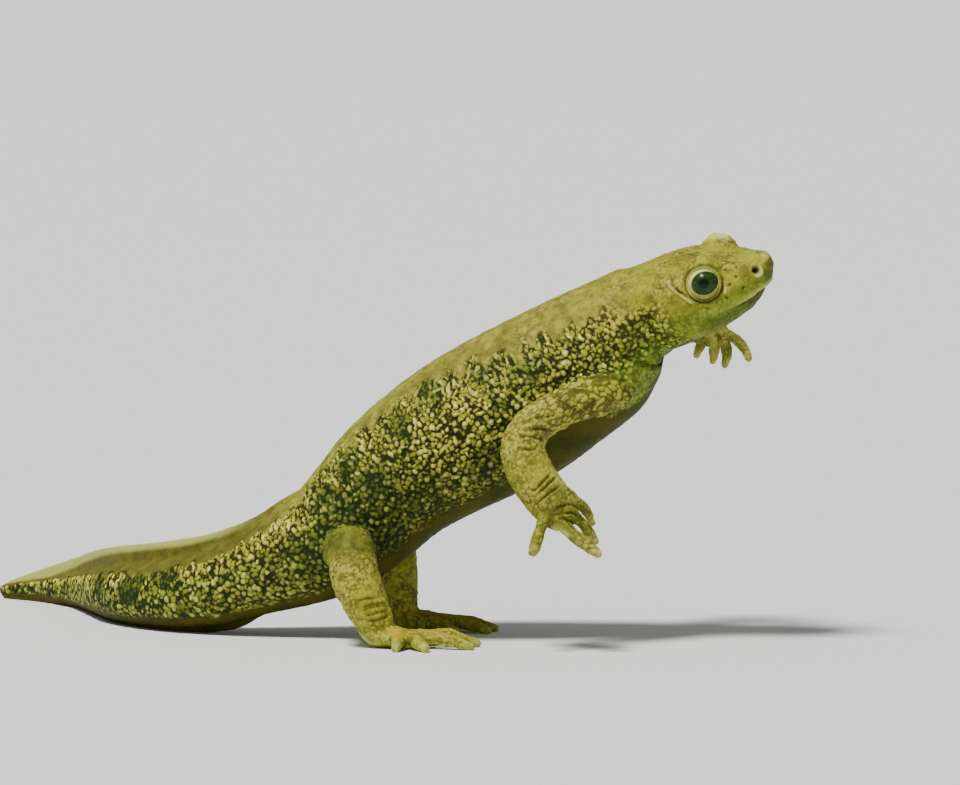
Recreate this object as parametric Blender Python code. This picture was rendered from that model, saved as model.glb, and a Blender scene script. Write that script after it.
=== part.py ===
# Edough ribbed newt, life size, raised on its hind feet with the tail laid on the floor.
# The animal faces +X with its back to +Z. Its right side, towards -Y, is the near side.
# Shapes are worked out in millimetres and turned to metres when each mesh is made.
import math
import random

import bmesh
import bpy
import numpy as np
from mathutils import Matrix, Vector
from mathutils.bvhtree import BVHTree

# Driving sizes, in millimetres
MM = 0.001
HEAD_LENGTH = 16.8          # gular fold to snout, along the head
HEAD_HALF_WIDTH = 7.5       # at the angle of the jaws
TRUNK_HALF_WIDTH = 10.6     # at the middle of the body
TAIL_LENGTH = 66.0          # vent to tip, along the tail
EYE_RADIUS = 2.0
EYE_OPENING = 1.8           # radius of the opening between the lids
EYE_AT = (9.75, 5.3, 2.2)   # on the head: ahead, out to the side, up
EYE_LOOK = (0.30, 0.92, 0.25)
FINGER_RADIUS = 0.7
TOE_RADIUS = 0.74
PART_GAP = 0.3              # kept between nodes that meet
SEAM_HEIGHT = 0.2           # how far above the body's smooth surface a limb is parted
VOXEL = 0.26                # grid that fuses the lofts into one skin
BODY_FACES = 8300           # triangles left on the trunk, tail and legs
FINE_FACES = 5100           # triangles left on the head, hands and feet

# The skin's relief, in millimetres
MOUTH_DEPTH, MOUTH_HALF_WIDTH = 0.42, 0.42
LIP_UPPER, LIP_LOWER, LIP_OFFSET = 0.14, 0.08, 0.85
NOSTRIL_DEPTH, NOSTRIL_RADIUS, NOSTRIL_RIM = 0.45, 0.42, 0.14
LID_HEIGHT, LID_RADIUS, LID_WIDTH = 0.3, 2.1, 0.42
THROAT_FOLD_DEPTH, THROAT_FOLD_LIP = 0.5, 0.22
RIB_SPACING, RIB_HEIGHT = 3.2, 0.2
WART_SPACING, WART_RADIUS, WART_HEIGHT = 3.0, 1.35, 0.42

# Colours of the nodes: red, green, blue, roughness
COLOURS = {
    "skin": (0.20, 0.19, 0.07, 0.55), "limb": (0.27, 0.26, 0.11, 0.6),
    "eye": (0.02, 0.025, 0.02, 0.12),
}

# The head's own frame: forward, to the right and up from the middle of the neck
NECK = np.array([38.2, 0.0, 40.7])
HEAD_PITCH, HEAD_YAW, HEAD_ROLL = (math.radians(angle) for angle in (19.6, 10.5, 16.0))


def unit(vector):
    vector = np.asarray(vector, float)
    return vector / np.linalg.norm(vector)


def ramp(value, low, high):
    """Nought below low, one above high, and a smooth rise between them."""
    t = np.clip((value - low) / (high - low), 0, 1)
    return t * t * (3 - 2 * t)


def head_axes():
    """Forward, right and up of the head, pitched up, turned and rolled a little to its right."""
    forward = np.array([
        math.cos(HEAD_PITCH) * math.cos(HEAD_YAW),
        -math.cos(HEAD_PITCH) * math.sin(HEAD_YAW),
        math.sin(HEAD_PITCH),
    ])
    level_right = unit([-math.sin(HEAD_YAW), -math.cos(HEAD_YAW), 0.0])
    level_up = np.cross(level_right, forward)
    right = math.cos(HEAD_ROLL) * level_right - math.sin(HEAD_ROLL) * level_up
    up = math.cos(HEAD_ROLL) * level_up + math.sin(HEAD_ROLL) * level_right
    return forward, right, up


FORWARD, RIGHT, UP = head_axes()


def on_head(ahead, right, up):
    """A point of the head's frame, in the animal's millimetres."""
    return NECK + ahead * FORWARD + right * RIGHT + up * UP


# Head rows from the snout back: ahead as a share of the length, top, bottom,
# half width as a share of the jaws', squareness
HEAD_ROWS = [
    (1.000, 0.55, -0.35, 0.04, 2.0),
    (0.990, 1.15, -0.95, 0.17, 2.1),
    (0.965, 1.65, -1.60, 0.30, 2.2),
    (0.925, 2.15, -2.30, 0.41, 2.3),
    (0.865, 2.75, -2.95, 0.54, 2.4),
    (0.740, 3.80, -3.75, 0.74, 2.5),
    (0.590, 4.85, -4.30, 0.91, 2.5),
    (0.420, 5.60, -4.65, 1.00, 2.5),
    (0.220, 5.80, -4.95, 0.99, 2.4),
    (0.000, 5.75, -5.45, 0.93, 2.2),
]
# Trunk rows: back x, back z, belly x, belly z, half width as a share of the widest, roll
TRUNK_ROWS = [
    (34.4, 45.7, 38.9, 32.3, 0.70, 13),     # behind the gular fold
    (31.4, 44.4, 36.8, 28.7, 0.77, 11),     # breast
    (27.4, 42.7, 32.1, 24.9, 0.85, 9),      # shoulders
    (22.1, 40.2, 27.1, 21.1, 0.92, 7),
    (16.1, 37.2, 22.1, 18.4, 0.98, 5),
    (10.1, 33.7, 17.0, 16.0, 1.00, 4),
    (4.3, 29.3, 12.0, 13.3, 0.95, 3),       # loins
    (-0.2, 25.0, 7.9, 9.9, 0.85, 2),
    (-3.4, 20.9, 3.6, 6.9, 0.75, 1),        # hips
    (-6.8, 17.1, -1.4, 4.6, 0.64, 0),       # vent
]
# Tail rows: share of its length, muscle top and bottom, half width, fin top and bottom
TAIL_ROWS = [
    (0.08, 12.6, 2.4, 5.4, 14.6, 1.4),
    (0.16, 10.4, 0.9, 4.4, 12.7, -0.1),
    (0.27, 8.8, 0.4, 3.5, 11.3, -0.8),
    (0.42, 7.4, 0.3, 2.8, 10.0, -0.8),
    (0.58, 6.1, 0.3, 2.2, 8.6, -0.8),
    (0.74, 4.7, 0.3, 1.6, 6.7, -0.8),
    (0.88, 3.2, 0.4, 1.0, 4.4, -0.7),
    (0.97, 1.9, 0.5, 0.6, 2.5, -0.6),
]
TAIL_ROOT = (-6.5, 0.0)     # where the tail's own length is counted from, in plan
FIN_HALF_THICKNESS = 0.42


def tail_plan(along):
    """The tail's middle line in plan: a sweep to the left, easing back at the tip."""
    steps = 60
    x, y = TAIL_ROOT
    for i in range(steps):
        share = (i + 0.5) / steps * along / TAIL_LENGTH
        heading = math.radians(64.0 * ramp(share, 0.0, 0.55) - 34.0 * ramp(share, 0.62, 1.0))
        x -= math.cos(heading) * along / steps
        y += math.sin(heading) * along / steps
    return x, y


def body_stations():
    """From snout to tail tip: back point, belly point, half width and squareness."""
    rows = [(on_head(HEAD_LENGTH * ahead, 0, top), on_head(HEAD_LENGTH * ahead, 0, bottom),
             HEAD_HALF_WIDTH * width, square) for ahead, top, bottom, width, square in HEAD_ROWS]
    for back_x, back_z, belly_x, belly_z, width, roll in TRUNK_ROWS:
        back, belly = np.array([back_x, 0, back_z]), np.array([belly_x, 0, belly_z])
        lean = np.array([0, -0.5 * np.linalg.norm(back - belly) * math.sin(math.radians(roll)), 0])
        rows.append((back + lean, belly - lean, TRUNK_HALF_WIDTH * width, 2.1))
    for share, top, bottom, half_width, _, _ in TAIL_ROWS:
        x, y = tail_plan(share * TAIL_LENGTH)
        lean = 3.2 * max(0.0, 1.0 - share / 0.3)
        rows.append((np.array([x - lean / 2, y, top]), np.array([x + lean / 2, y, bottom]),
                     half_width, 2.0))
    x, y = tail_plan(TAIL_LENGTH * 0.995)
    rows.append((np.array([x, y, 1.3]), np.array([x, y, 0.8]), 0.25, 2.0))
    return rows


def fin_stations():
    """The thin fold of skin above and below the tail, from the hips to the tip."""
    rows = [(np.array([-3.2, 0, 19.6]), np.array([-1.0, 0, 14.0]), FIN_HALF_THICKNESS, 3.0),
            (np.array([-7.6, 0, 17.2]), np.array([-4.0, 0, 8.0]), FIN_HALF_THICKNESS, 3.0)]
    for share, _, _, _, top, bottom in TAIL_ROWS:
        x, y = tail_plan(share * TAIL_LENGTH)
        rows.append((np.array([x, y, top]), np.array([x, y, bottom]), FIN_HALF_THICKNESS, 3.0))
    x, y = tail_plan(TAIL_LENGTH)
    rows.append((np.array([x, y, 1.6]), np.array([x, y, 0.5]), 0.3, 2.0))
    return rows


def smooth_rows(rows, step):
    """Rows of numbers put on a Catmull-Rom curve, about one row for each step along it."""
    rows = np.asarray(rows, float)
    padded = np.vstack([2 * rows[0] - rows[1], rows, 2 * rows[-1] - rows[-2]])
    out = []
    for i in range(1, len(padded) - 2):
        a, b, c, d = padded[i - 1:i + 3]
        count = max(1, round(float(np.linalg.norm((c - b)[:3])) / step))
        for k in range(count):
            t = k / count
            out.append(0.5 * (2 * b + (c - a) * t + (2 * a - 5 * b + 4 * c - d) * t * t
                              + (3 * b - a - 3 * c + d) * t ** 3))
    out.append(rows[-1])
    return np.array(out)


def add_rings(mesh, rings):
    """Joins rings of points with quads and closes both ends with a fan."""
    loops = [[mesh.verts.new(point) for point in ring] for ring in rings]
    faces = []
    for first, second in zip(loops, loops[1:]):
        count = len(first)
        for i in range(count):
            j = (i + 1) % count
            faces.append(mesh.faces.new((first[i], first[j], second[j], second[i])))
    for loop, points in ((loops[0][::-1], rings[0]), (loops[-1], rings[-1])):
        middle = mesh.verts.new(np.mean(points, axis=0))
        for i in range(len(loop)):
            faces.append(mesh.faces.new((loop[i], loop[(i + 1) % len(loop)], middle)))
    return faces


def body_line(stations, step=0.8):
    """Middle points, half-height vectors, unit side vectors, half widths, squareness."""
    rows = smooth_rows([(*(0.5 * (back + belly)), *(0.5 * (back - belly)), width, square)
                        for back, belly, width, square in stations], step)
    centres, rises = rows[:, :3], rows[:, 3:6]
    sides = np.cross(rises, np.gradient(centres, axis=0))
    sides /= np.linalg.norm(sides, axis=1)[:, None]
    return centres, rises, sides, rows[:, 6], rows[:, 7]


def loft(mesh, stations, count=40, step=0.8, swell=0.0):
    """A closed body through stations, each ring a rounded square, swollen evenly if asked."""
    rings = []
    for centre, rise, side, width, square in zip(*body_line(stations, step)):
        height = np.linalg.norm(rise)
        ring = []
        for i in range(count):
            angle = 2 * math.pi * i / count
            c, s = math.cos(angle), math.sin(angle)
            out = math.copysign(abs(c) ** (2 / square), c) * (max(width, 0.05) + swell)
            lift = math.copysign(abs(s) ** (2 / square), s) * (height + swell) / height
            ring.append(centre + out * side + lift * rise)
        rings.append(ring)
    return add_rings(mesh, rings)


def tube(mesh, rows, thin=(0, 1, 0), sides=20, step=0.5):
    """A round-ended limb through rows of x, y, z, radius and flatness along the thin axis."""
    rows = smooth_rows(rows, step)
    centres, sizes, flats = rows[:, :3], rows[:, 3], rows[:, 4]
    tangents = np.gradient(centres, axis=0)
    start, end = unit(tangents[0]), unit(tangents[-1])
    cap = [math.sin(math.pi / 2 * k / 4) for k in range(4)]
    path = [(centres[0] - start * sizes[0] * math.sqrt(1 - c * c), start,
             sizes[0] * max(c, 0.05), flats[0]) for c in cap]
    path += list(zip(centres, tangents, sizes, flats))
    path += [(centres[-1] + end * sizes[-1] * math.sqrt(1 - c * c), end,
              sizes[-1] * max(c, 0.05), flats[-1]) for c in cap[::-1]]
    rings = []
    for centre, tangent, size, flat in path:
        tangent = unit(tangent)
        across = unit(np.cross(unit(thin), tangent))
        rise = np.cross(tangent, across) * flat
        rings.append([centre + size * (math.cos(a) * across + math.sin(a) * rise)
                      for a in np.linspace(0, 2 * math.pi, sides, endpoint=False)])
    return add_rings(mesh, rings)


def ball(mesh, centre, radius, detail=3):
    made = bmesh.ops.create_icosphere(mesh, subdivisions=detail, radius=radius)
    bmesh.ops.translate(mesh, verts=made["verts"], vec=Vector(centre))


# Limbs, as rows of x, y, z, radius and flatness. The right side is the near one.
ARM_RIGHT = [
    (34.6, -5.6, 31.9, 3.0, 1.0), (32.7, -8.6, 30.9, 2.5, 1.0), (29.2, -11.5, 29.6, 2.25, 1.0),
    (25.9, -13.6, 27.4, 2.4, 1.0), (24.9, -14.6, 24.7, 2.75, 0.9), (26.0, -15.0, 21.6, 2.8, 0.78),
    (27.8, -15.2, 19.1, 2.85, 0.62),
]
ARM_LEFT = [
    (34.3, 5.2, 33.5, 3.0, 1.0), (34.8, 8.6, 34.4, 2.5, 1.0), (35.3, 11.8, 35.4, 2.2, 1.0),
    (36.6, 14.2, 36.9, 2.3, 1.0), (38.4, 14.6, 38.0, 2.5, 0.9), (40.4, 14.5, 38.4, 2.4, 0.8),
    (42.6, 14.2, 38.1, 2.2, 0.7),
]
PALM_RIGHT = [(28.0, -15.2, 18.9, 2.85, 0.5), (29.3, -15.1, 17.4, 2.6, 0.42)]
PALM_LEFT = [(42.8, 14.1, 38.0, 2.1, 0.55), (44.2, 14.0, 37.2, 1.9, 0.5)]
FINGERS_RIGHT = [
    # inner finger first: knuckle to tip, with radii as shares of FINGER_RADIUS
    [(29.6, -13.9, 19.6, 1.2), (31.6, -12.6, 17.9, 0.95), (32.5, -11.9, 16.7, 0.8),
     (32.9, -11.8, 15.6, 0.6)],
    [(29.6, -14.5, 18.0, 1.25), (31.9, -13.9, 15.9, 1.0), (32.9, -13.9, 14.7, 0.9),
     (33.7, -14.0, 13.6, 0.62)],
    [(29.0, -15.4, 16.7, 1.25), (31.3, -16.4, 14.6, 1.15), (33.0, -16.9, 13.5, 1.1),
     (34.5, -17.2, 12.3, 0.72)],
    [(27.9, -15.9, 17.0, 1.2), (27.4, -17.0, 15.1, 0.95), (27.1, -17.4, 13.8, 1.05),
     (26.7, -17.5, 12.6, 0.9)],
]
FINGERS_LEFT = [
    [(43.4, 13.1, 37.8, 1.1), (44.5, 11.6, 36.1, 0.95), (44.6, 10.9, 34.9, 0.85),
     (44.5, 10.6, 34.0, 0.65)],
    [(44.6, 13.5, 37.6, 1.1), (46.6, 13.5, 36.9, 0.95), (47.9, 13.6, 35.6, 0.9),
     (48.6, 13.6, 34.2, 0.65)],
    [(44.5, 14.6, 37.2, 1.15), (45.4, 15.4, 35.8, 1.0), (45.5, 15.8, 34.5, 0.95),
     (45.3, 15.9, 33.2, 0.7)],
    [(43.3, 15.2, 37.6, 1.1), (42.5, 16.4, 36.4, 0.95), (41.9, 17.0, 35.3, 0.95),
     (41.5, 17.3, 34.3, 0.75)],
]
LEG_RIGHT = [
    (1.2, -3.6, 10.9, 3.4, 1.0), (2.2, -8.4, 11.6, 3.1, 1.0), (3.2, -12.0, 10.9, 2.9, 1.0),
    (4.0, -13.2, 8.2, 2.95, 1.0), (5.1, -13.0, 5.5, 2.65, 1.0), (6.3, -12.6, 2.7, 2.3, 1.0),
]
LEG_LEFT = [
    (0.4, 3.6, 10.6, 3.4, 1.0), (2.3, 7.2, 10.8, 3.0, 1.0), (4.4, 9.3, 9.6, 2.75, 1.0),
    (4.9, 9.3, 6.6, 2.45, 1.0), (5.3, 8.6, 4.0, 2.25, 1.0), (5.7, 8.0, 2.2, 2.05, 1.0),
]
SOLE_RIGHT = [(6.6, -12.6, 1.7, 2.15, 0.72), (9.6, -12.8, 1.15, 2.5, 0.5)]
SOLE_LEFT = [(5.9, 8.0, 1.6, 2.0, 0.75), (9.0, 8.1, 1.15, 2.35, 0.5)]
# Toe tips in plan and the height of the arch of each toe, inner toe first
TOES_RIGHT = [(13.9, -8.2, 0.9), (18.4, -10.0, 1.5), (18.3, -13.6, 1.2), (13.4, -17.3, 1.0),
              (9.7, -17.6, 0.9)]
TOES_LEFT = [(13.2, 4.4, 0.9), (17.0, 5.8, 1.2), (17.4, 8.6, 1.2), (13.6, 12.1, 1.0),
             (9.9, 12.9, 0.9)]
# Centre and reach of the ball that holds each limb's root
LIMB_ROOTS = [((32.5, -8.4, 31.0), 6.2), ((34.6, 8.2, 34.2), 6.0),
              ((1.6, -6.6, 11.4), 6.0), ((1.4, 5.8, 10.8), 5.8)]
TOE_TIP_HEIGHT = 0.42       # of the middle of a toe's end, so that it's pressed flat
FLAT_BELOW = 0.04           # what comes this near the floor lies on it


def add_hand(mesh, palm, fingers):
    tube(mesh, palm)
    for finger in fingers:
        knuckle = np.array(finger[0][:3])
        wrist = np.array(palm[0][:3])
        rows = [(*(wrist + 0.3 * (knuckle - wrist)), 1.1 * FINGER_RADIUS, 1.0)]
        rows += [(x, y, z, share * FINGER_RADIUS, 1.0) for x, y, z, share in finger]
        tube(mesh, rows, sides=12, step=0.35)


def add_foot(mesh, sole, toes):
    tube(mesh, sole, thin=(0, 0, 1))
    heel, front = (np.array(row[:3]) for row in sole)
    for index, (tip_x, tip_y, arch) in enumerate(toes):
        tip = np.array([tip_x, tip_y, TOE_TIP_HEIGHT])
        spread = (index - 2) * 0.72 * math.copysign(1.0, heel[1])
        knuckle = front + (1.0 - 0.28 * (index - 2) ** 2, spread, 0.15)
        middle = 0.42 * knuckle + 0.58 * tip
        middle[2] = arch
        rows = [(*(0.5 * (heel + knuckle)), 1.6, 1.0), (*knuckle, 1.35, 1.0),
                (*(0.5 * (knuckle + middle) + (0, 0, 0.1)), 1.0, 1.0), (*middle, 1.08, 1.0),
                (*tip, 0.72, 1.0)]
        tube(mesh, [(x, y, z, share * TOE_RADIUS, flat) for x, y, z, share, flat in rows],
             thin=(0, 0, 1), sides=12, step=0.35)


def add_limbs(mesh):
    for arm, palm, fingers in ((ARM_RIGHT, PALM_RIGHT, FINGERS_RIGHT),
                               (ARM_LEFT, PALM_LEFT, FINGERS_LEFT)):
        tube(mesh, arm)
        add_hand(mesh, palm, fingers)
    for leg, sole, toes in ((LEG_RIGHT, SOLE_RIGHT, TOES_RIGHT), (LEG_LEFT, SOLE_LEFT, TOES_LEFT)):
        tube(mesh, leg)
        add_foot(mesh, sole, toes)


def eye_centre(side):
    ahead, out, up = EYE_AT
    return on_head(ahead, side * out, up)


def eye_axis(side):
    ahead, out, up = EYE_LOOK
    return unit(ahead * FORWARD + side * out * RIGHT + up * UP)


def add_orbits(mesh):
    """The swellings that hold the eyes."""
    for side in (1, -1):
        ball(mesh, eye_centre(side) - 0.35 * eye_axis(side), EYE_RADIUS + 0.7)
        ball(mesh, eye_centre(side) - 0.9 * eye_axis(side) + 0.55 * UP, EYE_RADIUS + 0.35)


def tidy(mesh):
    bmesh.ops.recalc_face_normals(mesh, faces=mesh.faces)


def object_from(mesh, name):
    tidy(mesh)
    data = bpy.data.meshes.new(name)
    mesh.to_mesh(data)
    mesh.free()
    data.transform(Matrix.Scale(MM, 4))
    made = bpy.data.objects.new(name, data)
    bpy.context.scene.collection.objects.link(made)
    return made


def apply_modifiers(obj):
    """Bakes the object's modifiers into its mesh."""
    graph = bpy.context.evaluated_depsgraph_get()
    data = bpy.data.meshes.new_from_object(obj.evaluated_get(graph))
    obj.modifiers.clear()
    obj.data = data


def cut(obj, cutter):
    """Takes the cutter out of the object and throws the cutter away."""
    step = obj.modifiers.new("cut", "BOOLEAN")
    step.operation, step.solver, step.object = "DIFFERENCE", "EXACT", cutter
    apply_modifiers(obj)
    bpy.data.objects.remove(cutter, do_unlink=True)


def points_of(obj):
    points = np.empty(len(obj.data.vertices) * 3)
    obj.data.vertices.foreach_get("co", points)
    return points.reshape(-1, 3) / MM


def set_points(obj, points):
    obj.data.vertices.foreach_set("co", (points * MM).ravel())
    obj.data.update()


def distances(mesh, points):
    """Distance from each point to the surface of a bmesh."""
    tree = BVHTree.FromBMesh(mesh)
    return np.array([tree.find_nearest(Vector(p))[3] for p in points])


def smoothed(obj, points, weight, rounds):
    """Moves each point towards the mean of its neighbours, by its own weight."""
    edges = np.empty(len(obj.data.edges) * 2, int)
    obj.data.edges.foreach_get("vertices", edges)
    first, second = edges.reshape(-1, 2).T
    count = np.bincount(first, minlength=len(points)) + np.bincount(second, minlength=len(points))
    for _ in range(rounds):
        total = np.zeros_like(points)
        for axis in range(3):
            total[:, axis] = (np.bincount(first, points[second, axis], len(points))
                              + np.bincount(second, points[first, axis], len(points)))
        points = points + weight[:, None] * (total / count[:, None] - points)
    return points


def bump(distance, width):
    return np.exp(-(distance / width) ** 2)


def body_places(points):
    """For each point: the length along the body's middle line and the angle up its side."""
    centres, rises, sides, _, _ = body_line(body_stations(), 0.5)
    steps = np.linalg.norm(np.diff(centres, axis=0), axis=1)
    lengths = np.concatenate([[0], np.cumsum(steps)])
    tangents = np.gradient(centres, axis=0)
    tangents /= np.linalg.norm(tangents, axis=1)[:, None]
    nearest = np.empty(len(points), int)
    for start in range(0, len(points), 8000):
        block = points[start:start + 8000]
        gaps = ((block[:, None, :] - centres[None]) ** 2).sum(axis=2)
        nearest[start:start + 8000] = gaps.argmin(axis=1)
    away = points - centres[nearest]
    along = lengths[nearest] + (away * tangents[nearest]).sum(axis=1)
    up = np.cross(tangents[nearest], sides[nearest])
    up *= np.sign((up * rises[nearest]).sum(axis=1))[:, None]
    angle = np.degrees(np.arctan2((away * up).sum(axis=1),
                                  abs((away * sides[nearest]).sum(axis=1))))
    return along, angle


# On the side of the head: ahead and up, from the corner of the mouth to the snout
MOUTH_LINE = ((7.5, -1.1), (9.8, -1.7), (12.2, -1.9), (14.5, -1.35), (16.0, -1.4), (17.0, -1.4))
NOSTRIL_AT = (15.5, 2.4, 1.0)


def head_relief(points):
    """Lids, mouth, nostrils and the gular fold, as heights over the smooth head."""
    local = (points - NECK) @ np.array([FORWARD, RIGHT, UP]).T
    ahead, out, up = local[:, 0], abs(local[:, 1]), local[:, 2]
    height = np.zeros(len(points))
    line = np.interp(ahead, *zip(*MOUTH_LINE))
    mouth = ramp(ahead, 7.0, 8.0)
    height -= MOUTH_DEPTH * mouth * bump(up - line, MOUTH_HALF_WIDTH)
    height += LIP_UPPER * mouth * bump(up - line - LIP_OFFSET, 0.45)
    height += LIP_LOWER * mouth * bump(up - line + LIP_OFFSET, 0.45)
    hole = np.linalg.norm(np.stack([ahead, out, up], 1) - NOSTRIL_AT, axis=1)
    height -= NOSTRIL_DEPTH * bump(hole, NOSTRIL_RADIUS)
    height += NOSTRIL_RIM * bump(hole - 1.8 * NOSTRIL_RADIUS, 0.25)
    for side in (1, -1):
        away = points - eye_centre(side)
        depth = away @ eye_axis(side)
        radius = np.linalg.norm(away - depth[:, None] * eye_axis(side), axis=1)
        height += LID_HEIGHT * bump(radius - LID_RADIUS, LID_WIDTH) * ramp(depth, 0.2, 0.9)
    fold = ahead + 0.63 * (up + 5.5)    # slopes up and back from below the jaw
    throat = ramp(-up, -1.5, 1.0)
    height -= THROAT_FOLD_DEPTH * throat * bump(fold, 0.5)
    height += THROAT_FOLD_LIP * throat * bump(fold - 0.9, 0.6)
    return height


def wart_relief(points, room):
    """Low domes scattered evenly where there is room for them."""
    spots = random.Random(7)
    order = [i for i in range(len(points)) if room[i] > 0.35]
    spots.shuffle(order)
    kept, cells = [], {}
    for i in order:
        cell = tuple((points[i] // WART_SPACING).astype(int))
        near = [cells.get((cell[0] + a, cell[1] + b, cell[2] + c), ())
                for a in (-1, 0, 1) for b in (-1, 0, 1) for c in (-1, 0, 1)]
        if all(np.linalg.norm(points[i] - points[j]) > WART_SPACING for group in near for j in group):
            cells.setdefault(cell, []).append(i)
            kept.append(i)
    height = np.zeros(len(points))
    for i in kept:
        gap = np.linalg.norm(points - points[i], axis=1)
        reach = WART_RADIUS * spots.uniform(0.85, 1.1)
        dome = np.clip(1 - (gap / reach) ** 2, 0, 1) ** 1.2
        height = np.maximum(height, WART_HEIGHT * room[i] * dome)
    return height


def relieved(obj, points, along, angle, body_gap, limb_gap):
    """Points moved out along their normals by the height of the skin's relief."""
    set_points(obj, points)
    normals = np.empty(len(points) * 3)
    obj.data.vertices.foreach_get("normal", normals)
    normals = normals.reshape(-1, 3)
    body = ramp(-body_gap, -0.7, -0.3)
    for centre, reach in LIMB_ROOTS:
        body *= ramp(np.linalg.norm(points - centre, axis=1), reach + 0.1, reach + 1.7)
    height = head_relief(points) * ramp(-along, -24, -20) * ramp(limb_gap, 0.2, 0.8)
    trunk = ramp(along, 19, 24) * ramp(-along, -84, -70)
    flank = ramp(angle, -62, -40) * ramp(-angle, -62, -46) * trunk * body
    height += wart_relief(points, flank)
    ribs = ramp(along, 22, 28) * ramp(-along, -64, -56) * ramp(angle, 8, 26) * ramp(-angle, -74, -60)
    height += RIB_HEIGHT * ribs * body * np.cos(2 * math.pi * along / RIB_SPACING)
    return points + height[:, None] * normals


# A place near the middle of each node, and how far round it the finer nodes reach
NODE_PLACES = {
    "head": on_head(8.0, 0, 0), "torso": (16.0, 0, 26.0), "tail": (-30.0, 3.0, 5.0),
    "foreleg_right": (26.5, -13.0, 26.0), "foreleg_left": (37.0, 13.0, 37.0),
    "forefoot_right": (30.0, -15.0, 16.5), "forefoot_left": (44.5, 14.0, 36.5),
    "hindleg_right": (3.5, -11.0, 9.0), "hindleg_left": (4.0, 8.8, 8.5),
    "hindfoot_right": (11.0, -13.0, 1.0), "hindfoot_left": (10.0, 9.0, 1.0),
}
FINE_REACH = {"head": 10.5, "forefoot_right": 6.5, "forefoot_left": 6.5, "hindfoot_right": 8.5,
              "hindfoot_left": 8.5}


def near_fine_places(points):
    """True for the points of the head, the hands and the feet."""
    near = np.zeros(len(points), bool)
    for name, reach in FINE_REACH.items():
        near |= np.linalg.norm(points - NODE_PLACES[name], axis=1) < reach
    return near


def thin_out(newt, chosen, faces_left):
    """Thins the faces among the chosen points until the whole has this many triangles."""
    triangles = sum(len(face.vertices) - 2 for face in newt.data.polygons)
    group = newt.vertex_groups.new(name="chosen")
    group.add(np.flatnonzero(chosen).tolist(), 1.0, "REPLACE")
    thin = newt.modifiers.new("thin", "DECIMATE")
    thin.ratio, thin.vertex_group = faces_left / triangles, group.name
    apply_modifiers(newt)
    newt.vertex_groups.clear()


def make_skin():
    """The whole animal fused into one surface, rounded where parts join, and pressed flat below.
    It is thinned to fewer faces at the end, less so on the head, hands and feet."""
    body, limbs, skin = bmesh.new(), bmesh.new(), bmesh.new()
    loft(body, body_stations())
    loft(body, fin_stations(), count=16)
    add_orbits(body)
    add_limbs(limbs)
    for source in (body, limbs):
        tidy(source)
        data = bpy.data.meshes.new("piece")
        source.to_mesh(data)
        skin.from_mesh(data)
        bpy.data.meshes.remove(data)
    newt = object_from(skin, "newt")
    fuse = newt.modifiers.new("fuse", "REMESH")
    fuse.mode, fuse.voxel_size = "VOXEL", VOXEL * MM
    apply_modifiers(newt)
    points = points_of(newt)
    body_gap, limb_gap = distances(body, points), distances(limbs, points)
    join = ramp(-np.maximum(body_gap, limb_gap), -1.6, -0.5)
    points = smoothed(newt, points, 0.5 * join, 24)
    points = smoothed(newt, points, np.full(len(points), 0.5), 3)
    along, angle = body_places(points)
    tail = ramp(along, 74, 82) * ramp(limb_gap, 0.5, 1.5)
    points = smoothed(newt, points, 0.5 * tail, 6)
    points = relieved(newt, points, along, angle, body_gap, limb_gap)
    points[:, 2] = np.maximum(points[:, 2], 0.0)
    set_points(newt, points)
    body.free()
    limbs.free()
    fine = near_fine_places(points)
    thin_out(newt, ~fine, 2 * int(fine.sum()) + BODY_FACES)
    thin_out(newt, near_fine_places(points_of(newt)), BODY_FACES + FINE_FACES)
    return newt


def clear_scene():
    for obj in list(bpy.data.objects):
        bpy.data.objects.remove(obj, do_unlink=True)


def disc(mesh, centre, normal, radius, depth=PART_GAP):
    """A round blade: thin across a neck, a tail or a limb, deep where it opens the lids."""
    turn = Vector((0, 0, 1)).rotation_difference(Vector(normal)).to_matrix().to_4x4()
    bmesh.ops.create_cone(mesh, cap_ends=True, segments=48, radius1=radius, radius2=radius,
                          depth=depth, matrix=Matrix.Translation(Vector(centre)) @ turn)


def root_blades():
    """The blades that part the limbs from the body: a shell over the body, kept near each root."""
    shell, inner, balls = bmesh.new(), bmesh.new(), bmesh.new()
    loft(shell, body_stations(), count=28, step=1.4, swell=SEAM_HEIGHT + PART_GAP)
    loft(inner, body_stations(), count=28, step=1.4, swell=SEAM_HEIGHT)
    for centre, radius in LIMB_ROOTS:
        ball(balls, centre, radius)
    shell, inner = object_from(shell, "shell"), object_from(inner, "inner")
    cut(shell, inner)
    keep = object_from(balls, "keep")
    step = shell.modifiers.new("near", "BOOLEAN")
    step.operation, step.solver, step.object = "INTERSECT", "EXACT", keep
    apply_modifiers(shell)
    bpy.data.objects.remove(keep, do_unlink=True)
    return shell


DISCS = [
    # centre, normal, radius
    (on_head(1.0, 0, 0.3), FORWARD, 9.6),               # neck
    ((-8.6, 0, 9.3), (-1, 0, -0.35), 10.4),             # behind the vent
    ((26.9, -15.1, 20.4), (0.55, -0.05, -0.8), 4.4),    # right wrist
    ((41.7, 14.3, 38.3), (0.98, -0.15, -0.1), 3.6),     # left wrist
    ((5.75, -12.8, 4.0), (0.4, 0.05, -0.92), 3.7),      # right ankle
    ((5.4, 8.5, 3.8), (0.2, -0.2, -0.95), 3.5),         # left ankle
]


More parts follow.
